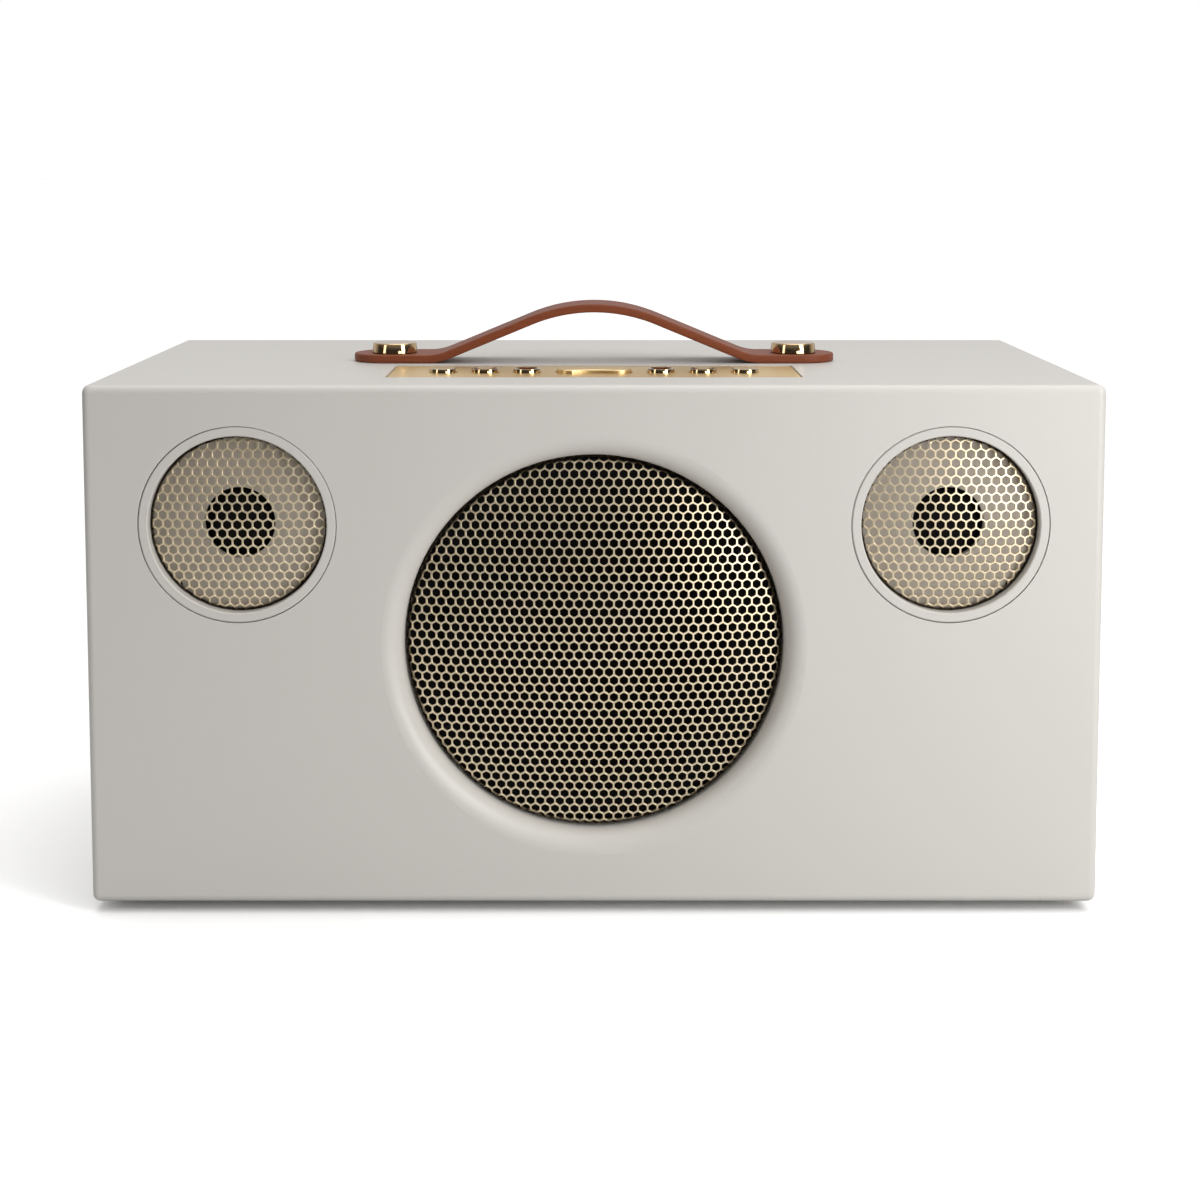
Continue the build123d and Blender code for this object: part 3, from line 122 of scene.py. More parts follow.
# ---------------------------------------------------------------- finishes
@dataclass(frozen=True)
class Finish:
    """A surface with a mottled tone and a fine grain, such as paint, moulded plastic or cast metal.

    Attributes:
        name: the material and how its surface was made.
        colour: its main sRGB colour.
        shade: the sRGB colour that it drifts towards in patches.
        grain: size of its finest grain, in metres.
        depth: height of that grain, in metres.
        patch: size of its patches of tone, in metres.
        roughness: middle value of its roughness.
        spread: how far its roughness drifts either way.
        metallic: one for a bare metal, less under a cloudy lacquer, and zero for anything else.
        coat: weight of a clear coat over it.
        coat_roughness: roughness of that coat.
        sheen: weight of the soft light along the edges of cloth.
        ior: refractive index of what isn't a metal.
    """

    name: str
    colour: str
    shade: str
    grain: float = 0.6 * MM
    depth: float = 0.01 * MM
    patch: float = 30 * MM
    roughness: float = 0.5
    spread: float = 0.06
    metallic: float = 0.0
    coat: float = 0.0
    coat_roughness: float = 0.2
    sheen: float = 0.0
    ior: float = 1.5

    def coordinates(self, tree: bpy.types.NodeTree) -> bpy.types.NodeSocket:
        """Returns the piece's own coordinates, in metres."""
        return add_node(tree, "TexCoord").outputs["Object"]

    def grain_height(
        self, tree: bpy.types.NodeTree, place: bpy.types.NodeSocket
    ) -> bpy.types.NodeSocket:
        """Returns the height of the finest grain, from zero to one."""
        grain = add_node(tree, "TexNoise", Vector=place, Scale=0.5 / self.grain, Detail=3.0)
        return grain.outputs["Fac"]

    def tone(
        self, tree: bpy.types.NodeTree, place: bpy.types.NodeSocket
    ) -> bpy.types.NodeSocket:
        """Returns how far the colour drifts towards its shade, from zero to one."""
        patches = add_node(tree, "TexNoise", Vector=place, Scale=0.5 / self.patch, Detail=5.0)
        return patches.outputs["Fac"]

    def make(self) -> bpy.types.Material:
        """Builds the material.

        Returns:
            A new material with its nodes.
        """
        material = bpy.data.materials.new(self.name)
        material.use_nodes = True
        tree = material.node_tree
        tree.nodes.clear()
        place = self.coordinates(tree)
        height = self.grain_height(tree, place)
        tone = self.tone(tree, place)
        colour = mixed(tree, tone, linear(self.colour), linear(self.shade))
        roughness = add_node(
            tree,
            "MapRange",
            Value=height,
            To_Min=self.roughness - self.spread,
            To_Max=self.roughness + self.spread,
        )
        bump = add_node(tree, "Bump", Height=height, Distance=self.depth, Strength=1.0)
        shader = add_node(
            tree,
            "BsdfPrincipled",
            Base_Color=colour,
            Roughness=roughness.outputs["Result"],
            Metallic=self.metallic,
            IOR=self.ior,
            Coat_Weight=self.coat,
            Coat_Roughness=self.coat_roughness,
            Sheen_Weight=self.sheen,
            Normal=bump.outputs["Normal"],
        )
        self.adjust(tree, shader, colour, place)
        add_node(tree, "OutputMaterial", Surface=shader.outputs["BSDF"])
        return material

    def adjust(
        self,
        tree: bpy.types.NodeTree,
        shader: bpy.types.Node,
        colour: bpy.types.NodeSocket,
        place: bpy.types.NodeSocket,
    ) -> None:
        """Adds what only some finishes have. A plain finish adds nothing."""


@dataclass(frozen=True)
class Brushed(Finish):
    """Metal brushed in straight lines, which stretch its highlights across them.

    Attributes:
        stretch: how much longer than wide a scratch is, along X, Y and Z.
    """

    stretch: tuple[float, float, float] = (60.0, 1.0, 1.0)

    def grain_height(
        self, tree: bpy.types.NodeTree, place: bpy.types.NodeSocket
    ) -> bpy.types.NodeSocket:
        """Returns the height of the scratches, from zero to one."""
        scale = tuple(0.5 / self.grain / s for s in self.stretch)
        along = add_node(tree, "Mapping", Vector=place, Scale=scale)
        lines = add_node(tree, "TexNoise", Vector=along.outputs["Vector"], Scale=1.0, Detail=4.0)
        return lines.outputs["Fac"]


@dataclass(frozen=True)
class Turned(Finish):
    """Metal faced on a lathe, with fine rings about an upright axis.

    Attributes:
        axis: the X and Y of the rings' middle. Rings on both sides of X = 0 use the distance from it.
    """

    axis: tuple[float, float] = (0.0, 0.0)

    def grain_height(
        self, tree: bpy.types.NodeTree, place: bpy.types.NodeSocket
    ) -> bpy.types.NodeSocket:
        """Returns the height of the turned rings, from zero to one."""
        fold = (1, 0, 0) if self.axis[0] > 0 else (0, 0, 0)
        folded = add_node(tree, "VectorMath", {"operation": "ABSOLUTE"}, i0=place)
        flat = add_node(
            tree,
            "Mix",
            {"data_type": "VECTOR", "factor_mode": "NON_UNIFORM"},
            i1=fold,
            i4=place,
            i5=folded.outputs[0],
        )
        middle = add_node(
            tree, "VectorMath", {"operation": "SUBTRACT"}, i0=flat.outputs[1], i1=(*self.axis, 0)
        )
        level = add_node(tree, "VectorMath", {"operation": "MULTIPLY"}, i0=middle.outputs[0], i1=(1, 1, 0))
        radius = add_node(tree, "VectorMath", {"operation": "LENGTH"}, i0=level.outputs[0])
        rings = add_node(
            tree,
            "TexNoise",
            {"noise_dimensions": "1D"},
            W=radius.outputs["Value"],
            Scale=0.5 / self.grain,
            Detail=3.0,
        )
        return rings.outputs["Fac"]


@dataclass(frozen=True)
class Woven(Finish):
    """Cloth woven over and under in threads that run two ways."""

    def grain_height(
        self, tree: bpy.types.NodeTree, place: bpy.types.NodeSocket
    ) -> bpy.types.NodeSocket:
        """Returns the height of the threads, from zero to one."""
        across, upright = (
            add_node(
                tree,
                "TexWave",
                {"bands_direction": direction},
                Vector=place,
                Scale=0.5 / self.grain,
                Distortion=0.4,
            ).outputs["Fac"]
            for direction in ("X", "Z")
        )
        return add_node(tree, "Math", {"operation": "MULTIPLY"}, i0=across, i1=upright).outputs[0]


@dataclass(frozen=True)
class Leather(Finish):
    """Vegetable-tanned leather: pebbled grain on its faces and a streaked, burnished cut edge.

    Attributes:
        edge: sRGB colour of the cut edge.
    """

    edge: str = "#7a4632"

    def grain_height(
        self, tree: bpy.types.NodeTree, place: bpy.types.NodeSocket
    ) -> bpy.types.NodeSocket:
        """Returns the height of the pebbles and the pores between them, from zero to one."""
        bend = add_node(tree, "TexNoise", Vector=place, Scale=0.5 / (3 * self.grain), Detail=2.0)
        moved = add_node(
            tree, "VectorMath", {"operation": "SCALE"}, i0=bend.outputs["Color"], Scale=self.grain
        )
        there = add_node(tree, "VectorMath", {"operation": "ADD"}, i0=place, i1=moved.outputs[0])
        pebbles = add_node(
            tree,
            "TexVoronoi",
            {"feature": "DISTANCE_TO_EDGE"},
            Vector=there.outputs[0],
            Scale=1 / self.grain,
        )
        fine = add_node(tree, "TexNoise", Vector=place, Scale=2 / self.grain, Detail=4.0)
        rise = add_node(
            tree, "MapRange", Value=pebbles.outputs["Distance"], From_Max=0.25, To_Max=0.75
        )
        both = add_node(
            tree,
            "Math",
            {"operation": "MULTIPLY_ADD"},
            i0=fine.outputs["Fac"],
            i1=0.25,
            i2=rise.outputs["Result"],
        )
        return both.outputs[0]

    def adjust(
        self,
        tree: bpy.types.NodeTree,
        shader: bpy.types.Node,
        colour: bpy.types.NodeSocket,
        place: bpy.types.NodeSocket,
    ) -> None:
        """Gives the cut edge its own streaked tone, where the mesh marks it with an attribute."""
        marked = add_node(tree, "Attribute", {"attribute_name": "cut_edge"})
        streaks = add_node(tree, "Mapping", Vector=place, Scale=(120, 120, 1800))
        fibres = add_node(tree, "TexNoise", Vector=streaks.outputs["Vector"], Scale=1.0, Detail=3.0)
        edge_tone = mixed(tree, fibres.outputs["Fac"], linear(self.edge), linear(self.shade))
        final = mixed(tree, marked.outputs["Fac"], colour, edge_tone)
        tree.links.new(final, shader.inputs["Base Color"])


@dataclass(frozen=True)
class Perforated(Finish):
    """Punched sheet whose turned-back skirt carries painted shade, a dark line standing in for the shade
    round the guard.

    Attributes:
        skirt: sRGB colour of the painted shade on the skirt.
    """

    # Painted shade: the dark colour that stands for the shade on the turned-back rim
    skirt: str = "#2c2319"

    def adjust(
        self,
        tree: bpy.types.NodeTree,
        shader: bpy.types.Node,
        colour: bpy.types.NodeSocket,
        place: bpy.types.NodeSocket,
    ) -> None:
        """Paints shade on the skirt, which the mesh marks with its own attribute, a little unevenly."""
        marked = add_node(tree, "Attribute", {"attribute_name": "skirt"})
        speckle = add_node(tree, "TexNoise", Vector=place, Scale=1 / (4 * self.grain), Detail=2.0)
        ragged = add_node(
            tree,
            "Math",
            {"operation": "MULTIPLY_ADD"},
            i0=speckle.outputs["Fac"],
            i1=0.3,
            i2=marked.outputs["Fac"],
        )
        share = add_node(tree, "MapRange", Value=ragged.outputs[0], From_Min=0.2, From_Max=1.1)
        final = mixed(tree, share.outputs["Result"], colour, linear(self.skirt))
        tree.links.new(final, shader.inputs["Base Color"])


@dataclass(frozen=True)
class PlateWithPaintedRimShade(Finish):
    """A painted plate with painted shade on its border: a dark line standing in for the shade in the gap
    under the guard's rim.

    Attributes:
        axis: X and Z of the plate's middle.
        shade_radius: radius at which the painted shade starts.
        rim_shade_colour: sRGB colour of the painted shade.
        fade: width over which the painted shade fades in.
    """

    axis: tuple[float, float] = (0.0, 0.0)
    shade_radius: float = 33.2 * MM
    # Painted shade for the gap under the guard's rim
    rim_shade_colour: str = "#17130f"
    fade: float = 0.5 * MM

    def adjust(
        self,
        tree: bpy.types.NodeTree,
        shader: bpy.types.Node,
        colour: bpy.types.NodeSocket,
        place: bpy.types.NodeSocket,
    ) -> None:
        """Paints the border black, as shade under the guard's rim."""
        apart = add_node(tree, "SeparateXYZ", Vector=place)
        across = add_node(
            tree, "Math", {"operation": "SUBTRACT"}, i0=apart.outputs["X"], i1=self.axis[0]
        )
        up = add_node(tree, "Math", {"operation": "SUBTRACT"}, i0=apart.outputs["Z"], i1=self.axis[1])
        both = add_node(tree, "CombineXYZ", X=across.outputs[0], Y=up.outputs[0])
        radius = add_node(tree, "VectorMath", {"operation": "LENGTH"}, i0=both.outputs[0])
        share = add_node(
            tree,
            "MapRange",
            Value=radius.outputs["Value"],
            From_Min=self.shade_radius,
            From_Max=self.shade_radius + self.fade,
        )
        final = mixed(tree, share.outputs["Result"], colour, linear(self.rim_shade_colour))
        tree.links.new(final, shader.inputs["Base Color"])


# Two-pack paint sprayed on fibreboard: even and soft, with faint orange peel in its highlights
SATIN_PAINT = Finish(
    "satin_two_pack_paint", "#cecbc6", "#cac6c0",
    grain=0.9 * MM, depth=0.004 * MM, patch=60 * MM, roughness=0.42, spread=0.03,
    coat=0.15, coat_roughness=0.3,
)
# The same paint on moulded ABS: the moulding shows a little finer than board
SATIN_PAINT_ON_ABS = Finish(
    "satin_paint_on_moulded_abs", "#cecbc6", "#cac6c0",
    grain=0.5 * MM, depth=0.003 * MM, patch=40 * MM, roughness=0.44, spread=0.03,
    coat=0.1,
)
# Raw board: brown fibres pressed flat, dull and dusty
BARE_BOARD = Finish(
    "bare_fibreboard", "#a8845a", "#8d6c47",
    grain=0.4 * MM, depth=0.04 * MM, patch=8 * MM, roughness=0.85, spread=0.05,
)
# Perforated brass sheet, punched, domed and lacquered: a soft metal glow with slightly uneven lacquer, and
# painted shade on its turned-back rim
PERFORATED_BRASS = Perforated(
    "lacquered_perforated_brass", "#f4e6ca", "#e8d4ae",
    grain=0.25 * MM, depth=0.003 * MM, patch=14 * MM, roughness=0.36, spread=0.06,
    metallic=0.8,
)
# Brass plate brushed along its length: fine straight scratches that spread its highlights
BRUSHED_BRASS = Brushed(
    "brushed_brass_plate", "#f2d6a0", "#e4c791",
    grain=0.16 * MM, depth=0.006 * MM, patch=25 * MM, roughness=0.36, spread=0.1,
    metallic=1.0,
)
# Bolt heads turned from brass bar and polished: mirror-like with faint rings
POLISHED_BRASS = Turned(
    "turned_polished_brass", "#dcc197", "#cda97a",
    grain=0.12 * MM, depth=0.0012 * MM, patch=12 * MM, roughness=0.08, spread=0.02,
    metallic=1.0, axis=(82.8 * MM, -1 * MM),
)
# Thin gold plating on turned sockets: bright and warm
GOLD_PLATE = Finish(
    "gold_plated_brass", "#e6c47a", "#d8b368",
    grain=0.2 * MM, depth=0.001 * MM, patch=5 * MM, roughness=0.18, spread=0.03,
    metallic=1.0,
)
# Zinc plate on steel: greyish, slightly cloudy
ZINC_PLATE = Finish(
    "zinc_plated_steel", "#b9bcc0", "#a3a7ad",
    grain=0.3 * MM, depth=0.004 * MM, patch=6 * MM, roughness=0.35, spread=0.08,
    metallic=1.0,
)
# Black oxide on steel screws: dark with a dull metal gleam
BLACK_OXIDE = Finish(
    "black_oxide_steel", "#2b2b2d", "#1f1f21",
    grain=0.3 * MM, depth=0.003 * MM, patch=4 * MM, roughness=0.42, spread=0.06,
    metallic=1.0,
)
# Powder coat on pressed steel: matt black with a fine orange peel
POWDER_COAT = Finish(
    "powder_coated_steel", "#0d0c0c", "#0a0909",
    grain=0.7 * MM, depth=0.02 * MM, patch=15 * MM, roughness=0.8, spread=0.06,
    ior=1.25,
)
# Moulded ABS with a spark-eroded texture: even black, fine grain
MOULDED_ABS = Finish(
    "spark_textured_moulded_abs", "#171616", "#131212",
    grain=0.35 * MM, depth=0.02 * MM, patch=20 * MM, roughness=0.6, spread=0.05,
)
# Polished ABS: glossy black that picks up dust and fine scratches
GLOSS_ABS = Finish(
    "polished_moulded_abs", "#121213", "#171718",
    grain=0.8 * MM, depth=0.002 * MM, patch=10 * MM, roughness=0.16, spread=0.05,
)
# Nitrile rubber feet: matt, a little chalky
RUBBER = Finish(
    "moulded_nitrile_rubber", "#1a1a1a", "#232323",
    grain=0.4 * MM, depth=0.03 * MM, patch=8 * MM, roughness=0.8, spread=0.06,
)
# Thin butyl rubber half roll: soft low gloss
BUTYL = Finish(
    "moulded_butyl_rubber", "#0b0908", "#0e0c0b",
    grain=0.5 * MM, depth=0.006 * MM, patch=20 * MM, roughness=0.85, spread=0.05,
    ior=1.2,
)
# Closed-cell foam strip: matt with open cut cells
FOAM = Finish(
    "closed_cell_foam", "#222224", "#18181a",
    grain=0.5 * MM, depth=0.12 * MM, patch=5 * MM, roughness=0.92, spread=0.03,
)
# Sintered ferrite: dark grey, ground flat, slightly sparkling
FERRITE = Finish(
    "sintered_ferrite", "#3a3a3d", "#2e2e31",
    grain=0.15 * MM, depth=0.01 * MM, patch=10 * MM, roughness=0.5, spread=0.1,
)
# Pressed paper pulp: fibrous and matt, dyed black
PAPER_PULP = Finish(
    "pressed_paper_pulp", "#0d0a08", "#080605",
    grain=0.8 * MM, depth=0.05 * MM, patch=12 * MM, roughness=0.95, spread=0.04,
    ior=1.2,
)
# Enamelled copper wire wound on a former: thin rings of orange metal
WOUND_COPPER = Brushed(
    "wound_enamelled_copper", "#b86a3c", "#8f4f2c",
    grain=0.2 * MM, depth=0.03 * MM, patch=4 * MM, roughness=0.32, spread=0.08,
    metallic=1.0, stretch=(40.0, 1.0, 40.0),
)
# Cloth stiffened with resin: a brown weave with a slight gloss
DOPED_CLOTH = Woven(
    "resin_doped_cloth", "#4a3420", "#3a2817",
    grain=0.45 * MM, depth=0.06 * MM, patch=8 * MM, roughness=0.6, spread=0.08,
    sheen=0.2,
)
# Coated silk dome: near black with a fine weave
COATED_SILK = Woven(
    "coated_silk", "#0d0907", "#090605",
    grain=0.3 * MM, depth=0.02 * MM, patch=8 * MM, roughness=0.75, spread=0.06,
    ior=1.25,
)
# Leather strap: red-brown with a waxy lustre on its grain side
STRAP_LEATHER = Leather(
    "vegetable_tanned_leather", "#84462b", "#6c3420",
    grain=0.55 * MM, depth=0.035 * MM, patch=9 * MM, roughness=0.5, spread=0.07,
    coat=0.04, coat_roughness=0.2, edge="#8b4b2c", ior=1.32,
)
# Solder mask over copper tracks: glossy dark green
SOLDER_MASK = Finish(
    "solder_masked_glass_laminate", "#1d5a38", "#174a2d",
    grain=1.2 * MM, depth=0.02 * MM, patch=4 * MM, roughness=0.28, spread=0.05,
)
# Extruded aluminium: pale and lined along the extrusion
EXTRUDED_ALUMINIUM = Brushed(
    "extruded_aluminium", "#c9cacc", "#b8babd",
    grain=0.2 * MM, depth=0.01 * MM, patch=12 * MM, roughness=0.38, spread=0.08,
    metallic=1.0, stretch=(1.0, 1.0, 60.0),
)
# Polyester tape round the transformer: yellow, slightly wrinkled
POLYESTER_TAPE = Finish(
    "polyester_winding_tape", "#c9a53a", "#b8922c",
    grain=2.5 * MM, depth=0.05 * MM, patch=6 * MM, roughness=0.3, spread=0.06,
)
# Polyester wadding: loose grey fibres
WADDING = Finish(
    "polyester_wadding", "#a9a9a7", "#8f8f8d",
    grain=1.4 * MM, depth=0.9 * MM, patch=9 * MM, roughness=0.95, spread=0.03,
    sheen=0.4,
)


class Side(Enum):
    """The two sides of the cabinet, as someone facing the front sees them."""

    LEFT = "left"
    RIGHT = "right"


# ---------------------------------------------------------------- shared mesh helpers
def finish_piece(
    name: str,
    vertices: np.ndarray,
    faces: list[tuple[int, ...]],
    finish: Finish,
    body: str,
    replaces: tuple[str, ...],
    sharp_degrees: float = 35.0,
) -> bpy.types.Object:
    """Makes a clean, smooth-shaded piece that rides on a body and stands for CAD nodes.

    Args:
        name: the piece's name.
        vertices: its points, in metres.
        faces: its faces, as places in the points.
        finish: what it is made of.
        body: the CAD body that it moves with.
        replaces: the CAD nodes that it stands for.
        sharp_degrees: edges that turn by more than this stay sharp.

    Returns:
        The new object.
    """
    mesh = bpy.data.meshes.new(name)
    mesh.from_pydata([tuple(v) for v in vertices], [], faces)
    work = bmesh.new()
    work.from_mesh(mesh)
    bmesh.ops.remove_doubles(work, verts=work.verts, dist=WELD)
    bmesh.ops.dissolve_degenerate(work, edges=work.edges, dist=TOO_SHORT)
    bmesh.ops.recalc_face_normals(work, faces=work.faces)
    work.to_mesh(mesh)
    work.free()
    mesh.polygons.foreach_set("use_smooth", [True] * len(mesh.polygons))
    mesh.set_sharp_from_angle(angle=math.radians(sharp_degrees))
    mesh.materials.append(finish.make())
    piece = bpy.data.objects.new(name, mesh)
    bpy.context.scene.collection.objects.link(piece)
    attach(piece, body)
    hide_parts(*replaces)
    LOG.info("%s: %d faces in %s", name, len(mesh.polygons), finish.name)
    return piece


def ring_faces(start_a: int, start_b: int, count: int) -> list[tuple[int, int, int, int]]:
    """Joins two rings of points with quads.

    Args:
        start_a: place of the first ring's first point.
        start_b: place of the second ring's first point.
        count: points in each ring.

    Returns:
        The quads, round the ring and back to its start.
    """
    return [
        (start_a + i, start_a + (i + 1) % count, start_b + (i + 1) % count, start_b + i) for i in range(count)
    ]


def turned_piece(
    outline: list[tuple[float, float]], centre: Vector, axis: Vector, across: Vector, steps: int = 128
) -> tuple[np.ndarray, list[tuple[int, ...]]]:
    """Turns an outline about an axis.

    Args:
        outline: (radius, distance along the axis) of each point, closed back to the first one.
        centre: a point on the axis, from which distances count.
        axis: unit direction of the axis.
        across: unit direction square to the axis.
        steps: points round the turn.

    Returns:
        Points and faces.
    """
    third = axis.cross(across)
    points: list[Vector] = []
    for radius, along in outline:
        for i in range(steps):
            a = 2 * math.pi * i / steps
            points.append(centre + axis * along + (across * math.cos(a) + third * math.sin(a)) * radius)
    faces: list[tuple[int, ...]] = []
    for k in range(len(outline)):
        faces += ring_faces(k * steps, (k + 1) % len(outline) * steps, steps)
    return np.array([tuple(p) for p in points]), faces


# ---------------------------------------------------------------- cabinet
@dataclass
class Cabinet:
    """The painted box, its back and its feet, which keep their CAD shapes."""

    finishes: dict[str, Finish] = field(
        default_factory=lambda: {
            "cabinet_shell": SATIN_PAINT,
            "rear_panel": SATIN_PAINT,
            "cabinet_braces": BARE_BOARD,
            "rubber_feet": RUBBER,
            "bass_port": MOULDED_ABS,
            "rear_screws": BLACK_OXIDE,
            "damping_pads": WADDING,
        }
    )

    def dress(self) -> None:
        """Gives each piece its finish."""
        dress_nodes(self.finishes)


def dress_nodes(finishes: dict[str, Finish]) -> None:
    """Gives CAD nodes their finishes and reports them.

    Args:
        finishes: the finish of each node, by name.
    """
    for node, finish in finishes.items():
        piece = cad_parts[node]
        material = finish.make()
        if not piece.material_slots:
            piece.data.materials.append(material)
        for place in piece.material_slots:
            place.material = material
        LOG.info("%s: CAD shape in %s", node, finish.name)


# ---------------------------------------------------------------- domed grilles
@dataclass
class DomedGrille:
    """A sheet punched with close hexagonal holes, domed and turned back at its rim.

    Attributes:
        node: the CAD node that it stands for.
        curve: radius of the dome.
        bend: radius of the bend at the rim.
        pitch: distance between neighbouring holes.
        web: width of the metal between them.
        sheet: thickness of the metal.
        bevel: width of the rounded-over edge of a hole.
        rim_shade_from: how far inside the rim its painted shade starts.
        rim_shade_to: how far inside the rim the painted shade is full.
        bend_cuts: stretches that each half side of a hole near the rim is cut into.
        bend_lead: how far before the bend, in pitches, those finer cells start.
        overrun: how far past the sheet's end, in pitches, the last cells may have their middles.
        bevel_corner: share of a sharp corner's reach that the outside of the rounded edge keeps.
        hole_corner: share of a sharp corner's reach that a hole keeps.
        hem_height: height of the plain band at the rim.
        hem_extra: how much thicker than the sheet that band is.
        hem_chamfer: width of the broken edge in front of it.
        hem_steps: points round it.
    """

    node: str
    curve: float
    bend: float
    pitch: float
    web: float = 0.6 * MM
    sheet: float = 0.7 * MM
    bevel: float = 0.06 * MM
    rim_shade_from: float = 2.3 * MM
    rim_shade_to: float = 1.0 * MM
    bend_cuts: int = 2
    bend_lead: float = 0.1
    overrun: float = 0.3
    bevel_corner: float = 0.99
    hole_corner: float = 0.97
    hem_height: float = 0.5 * MM
    hem_extra: float = 0.2 * MM
    hem_chamfer: float = 0.1 * MM
    hem_steps: int = 160

    def __post_init__(self) -> None:
        """Reads its place and size from the frame."""
        low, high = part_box(self.node)
        self.front = low.y
        self.rim_radius = (high.x - low.x) / 2
        self.depth = high.y - low.y
        self.centre = Vector(((low.x + high.x) / 2, low.y, (low.z + high.z) / 2))
        self.bend_start = math.asin((self.rim_radius - self.bend) / (self.curve - self.bend))
        self.dome_length = self.curve * self.bend_start
        self.bend_length = self.bend * (math.pi / 2 - self.bend_start)
        dome_depth = self.curve * (1 - math.cos(self.bend_start))
        self.bend_centre_depth = dome_depth + self.bend * math.cos(self.bend_start)
        skirt_length = self.depth - self.bend_centre_depth
        self.whole_length = self.dome_length + self.bend_length + skirt_length

    def shape(self, flat: np.ndarray, sunk: float) -> np.ndarray:
        """Lays points of the flat sheet on the domed one.

        Args:
            flat: points on the flat sheet, about its middle.
            sunk: how far below the front skin they lie.

        Returns:
            Points in the row frame.
        """
        along = np.minimum(np.hypot(flat[:, 0], flat[:, 1]), self.whole_length)
        turn = np.arctan2(flat[:, 1], flat[:, 0])
        angle = np.where(
            along < self.dome_length,
            along / self.curve,
            self.bend_start + (along - self.dome_length) / self.bend,
        )
        angle = np.minimum(angle, math.pi / 2)
        past = np.maximum(along - self.dome_length - self.bend_length, 0)
        on_dome = along < self.dome_length
        radius = np.where(
            on_dome,
            self.curve * np.sin(angle),
            self.rim_radius - self.bend + self.bend * np.sin(angle),
        )
        depth = np.where(
            on_dome,
            self.curve * (1 - np.cos(angle)),
            self.bend_centre_depth - self.bend * np.cos(angle) + past,
        )
        radius = radius - sunk * np.sin(angle)
        depth = depth + sunk * np.cos(angle)
        return np.stack(
            [
                self.centre.x + radius * np.cos(turn),
                self.front + depth,
                self.centre.z + radius * np.sin(turn),
            ],
            axis=1,
        )

    def cell_middles(self) -> np.ndarray:
        """Returns the middle of each hole on the flat sheet. The last ones are cut off by its end."""
        reach = self.whole_length + self.overrun * self.pitch
        row_pitch = self.pitch * math.sqrt(3) / 2
        rows = int(reach / row_pitch) + 2
        columns = int(reach / self.pitch) + 2
        middles = [
            ((column + 0.5 * (row % 2)) * self.pitch, row * row_pitch)
            for row in range(-rows, rows + 1)
            for column in range(-columns, columns + 1)
        ]
        return np.array([m for m in middles if math.hypot(*m) < reach])

    def cell_ring(self, width: float, corner: float, cuts: int) -> np.ndarray:
        """Returns points round a cell: its corners, the middles of its sides and even cuts between them.

        Args:
            width: distance across the cell's flat sides.
            corner: share of a sharp corner's reach that the corner keeps.
            cuts: stretches that each half side is cut into.

        Returns:
            The points, about the cell's middle.
        """
        turns = np.radians(30 * np.arange(13))
        reach = np.where(np.arange(13) % 2 == 0, width / 2, width / math.sqrt(3) * corner)
        ends = np.stack([reach * np.cos(turns), reach * np.sin(turns)], axis=1)
        shares = np.arange(cuts)[:, None] / cuts
        return np.concatenate([a + (b - a) * shares for a, b in zip(ends[:-1], ends[1:])])

    def punched(self, middles: np.ndarray, cuts: int) -> tuple[np.ndarray, list[tuple[int, ...]]]:
        """Builds the metal round some of the holes.

        Args:
            middles: the holes' middles on the flat sheet.
            cuts: stretches that each half side is cut into.

        Returns:
            Points and faces.
        """
        hole = self.pitch - self.web
        rings = [
            (self.cell_ring(self.pitch, 1.0, cuts), 0.0),
            (self.cell_ring(hole + 2 * self.bevel, self.bevel_corner, cuts), 0.0),
            (self.cell_ring(hole, self.hole_corner, cuts), self.bevel),
            (self.cell_ring(hole, self.hole_corner, cuts), self.sheet),
            (self.cell_ring(self.pitch, 1.0, cuts), self.sheet),
        ]
        around = 12 * cuts
        blocks = [
            self.shape((middles[:, None, :] + ring[None]).reshape(-1, 2), sunk)
            for ring, sunk in rings
        ]
        count = len(middles) * around
        faces: list[tuple[int, ...]] = []
        for level in range(len(rings) - 1):
            for cell in range(len(middles)):
                start = level * count + cell * around
                faces += ring_faces(start, start + count, around)
        return np.concatenate(blocks), faces

    def build(self, finish: Finish, slot: str) -> None:
        """Builds the punched sheet and the hem that ends it.

        Args:
            finish: what it is made of.
            slot: not used.
        """
        middles = self.cell_middles()
        fine_from = self.dome_length - self.bend_lead * self.pitch
        outer = np.hypot(middles[:, 0], middles[:, 1]) > fine_from
        # The metal bends sharply near the rim, so the cells there have more points
        points, faces = self.punched(middles[~outer], 1)
        for own_points, own_faces in (self.punched(middles[outer], self.bend_cuts), self.hem()):
            faces += [tuple(i + len(points) for i in f) for f in own_faces]
            points = np.concatenate([points, own_points])
        piece = finish_piece(
            f"{self.node}_punched",
            points,
            faces,
            finish,
            "cabinet",
            (self.node,),
        )
        self.mark_painted_rim_shade(piece.data)

    def mark_painted_rim_shade(self, mesh: bpy.types.Mesh) -> None:
        """Writes how much painted shade each point gets, from zero on the dome to one at the rim."""
        spots = np.empty(3 * len(mesh.vertices))
        mesh.vertices.foreach_get("co", spots)
        spots = spots.reshape(-1, 3)
        radius = np.hypot(spots[:, 0] - self.centre.x, spots[:, 2] - self.centre.z)
        inside_rim = self.rim_radius - radius
        share = np.clip((self.rim_shade_from - inside_rim) / (self.rim_shade_from - self.rim_shade_to), 0, 1)
        layer = mesh.attributes.new("skirt", "FLOAT", "POINT")
        layer.data.foreach_set("value", share.astype(np.float32))

    def hem(self) -> tuple[np.ndarray, list[tuple[int, ...]]]:
        """Returns the plain band that the punched sheet ends in, inside the opening."""
        outer = self.rim_radius
        inner = self.rim_radius - self.sheet - self.hem_extra
        start = self.depth - self.hem_height
        outline = [
            (outer - self.hem_chamfer, start),
            (outer, start + self.hem_chamfer),
            (outer, self.depth),
            (inner, self.depth),
            (inner, start),
        ]
        return turned_piece(outline, self.centre, INWARDS, ACROSS, self.hem_steps)


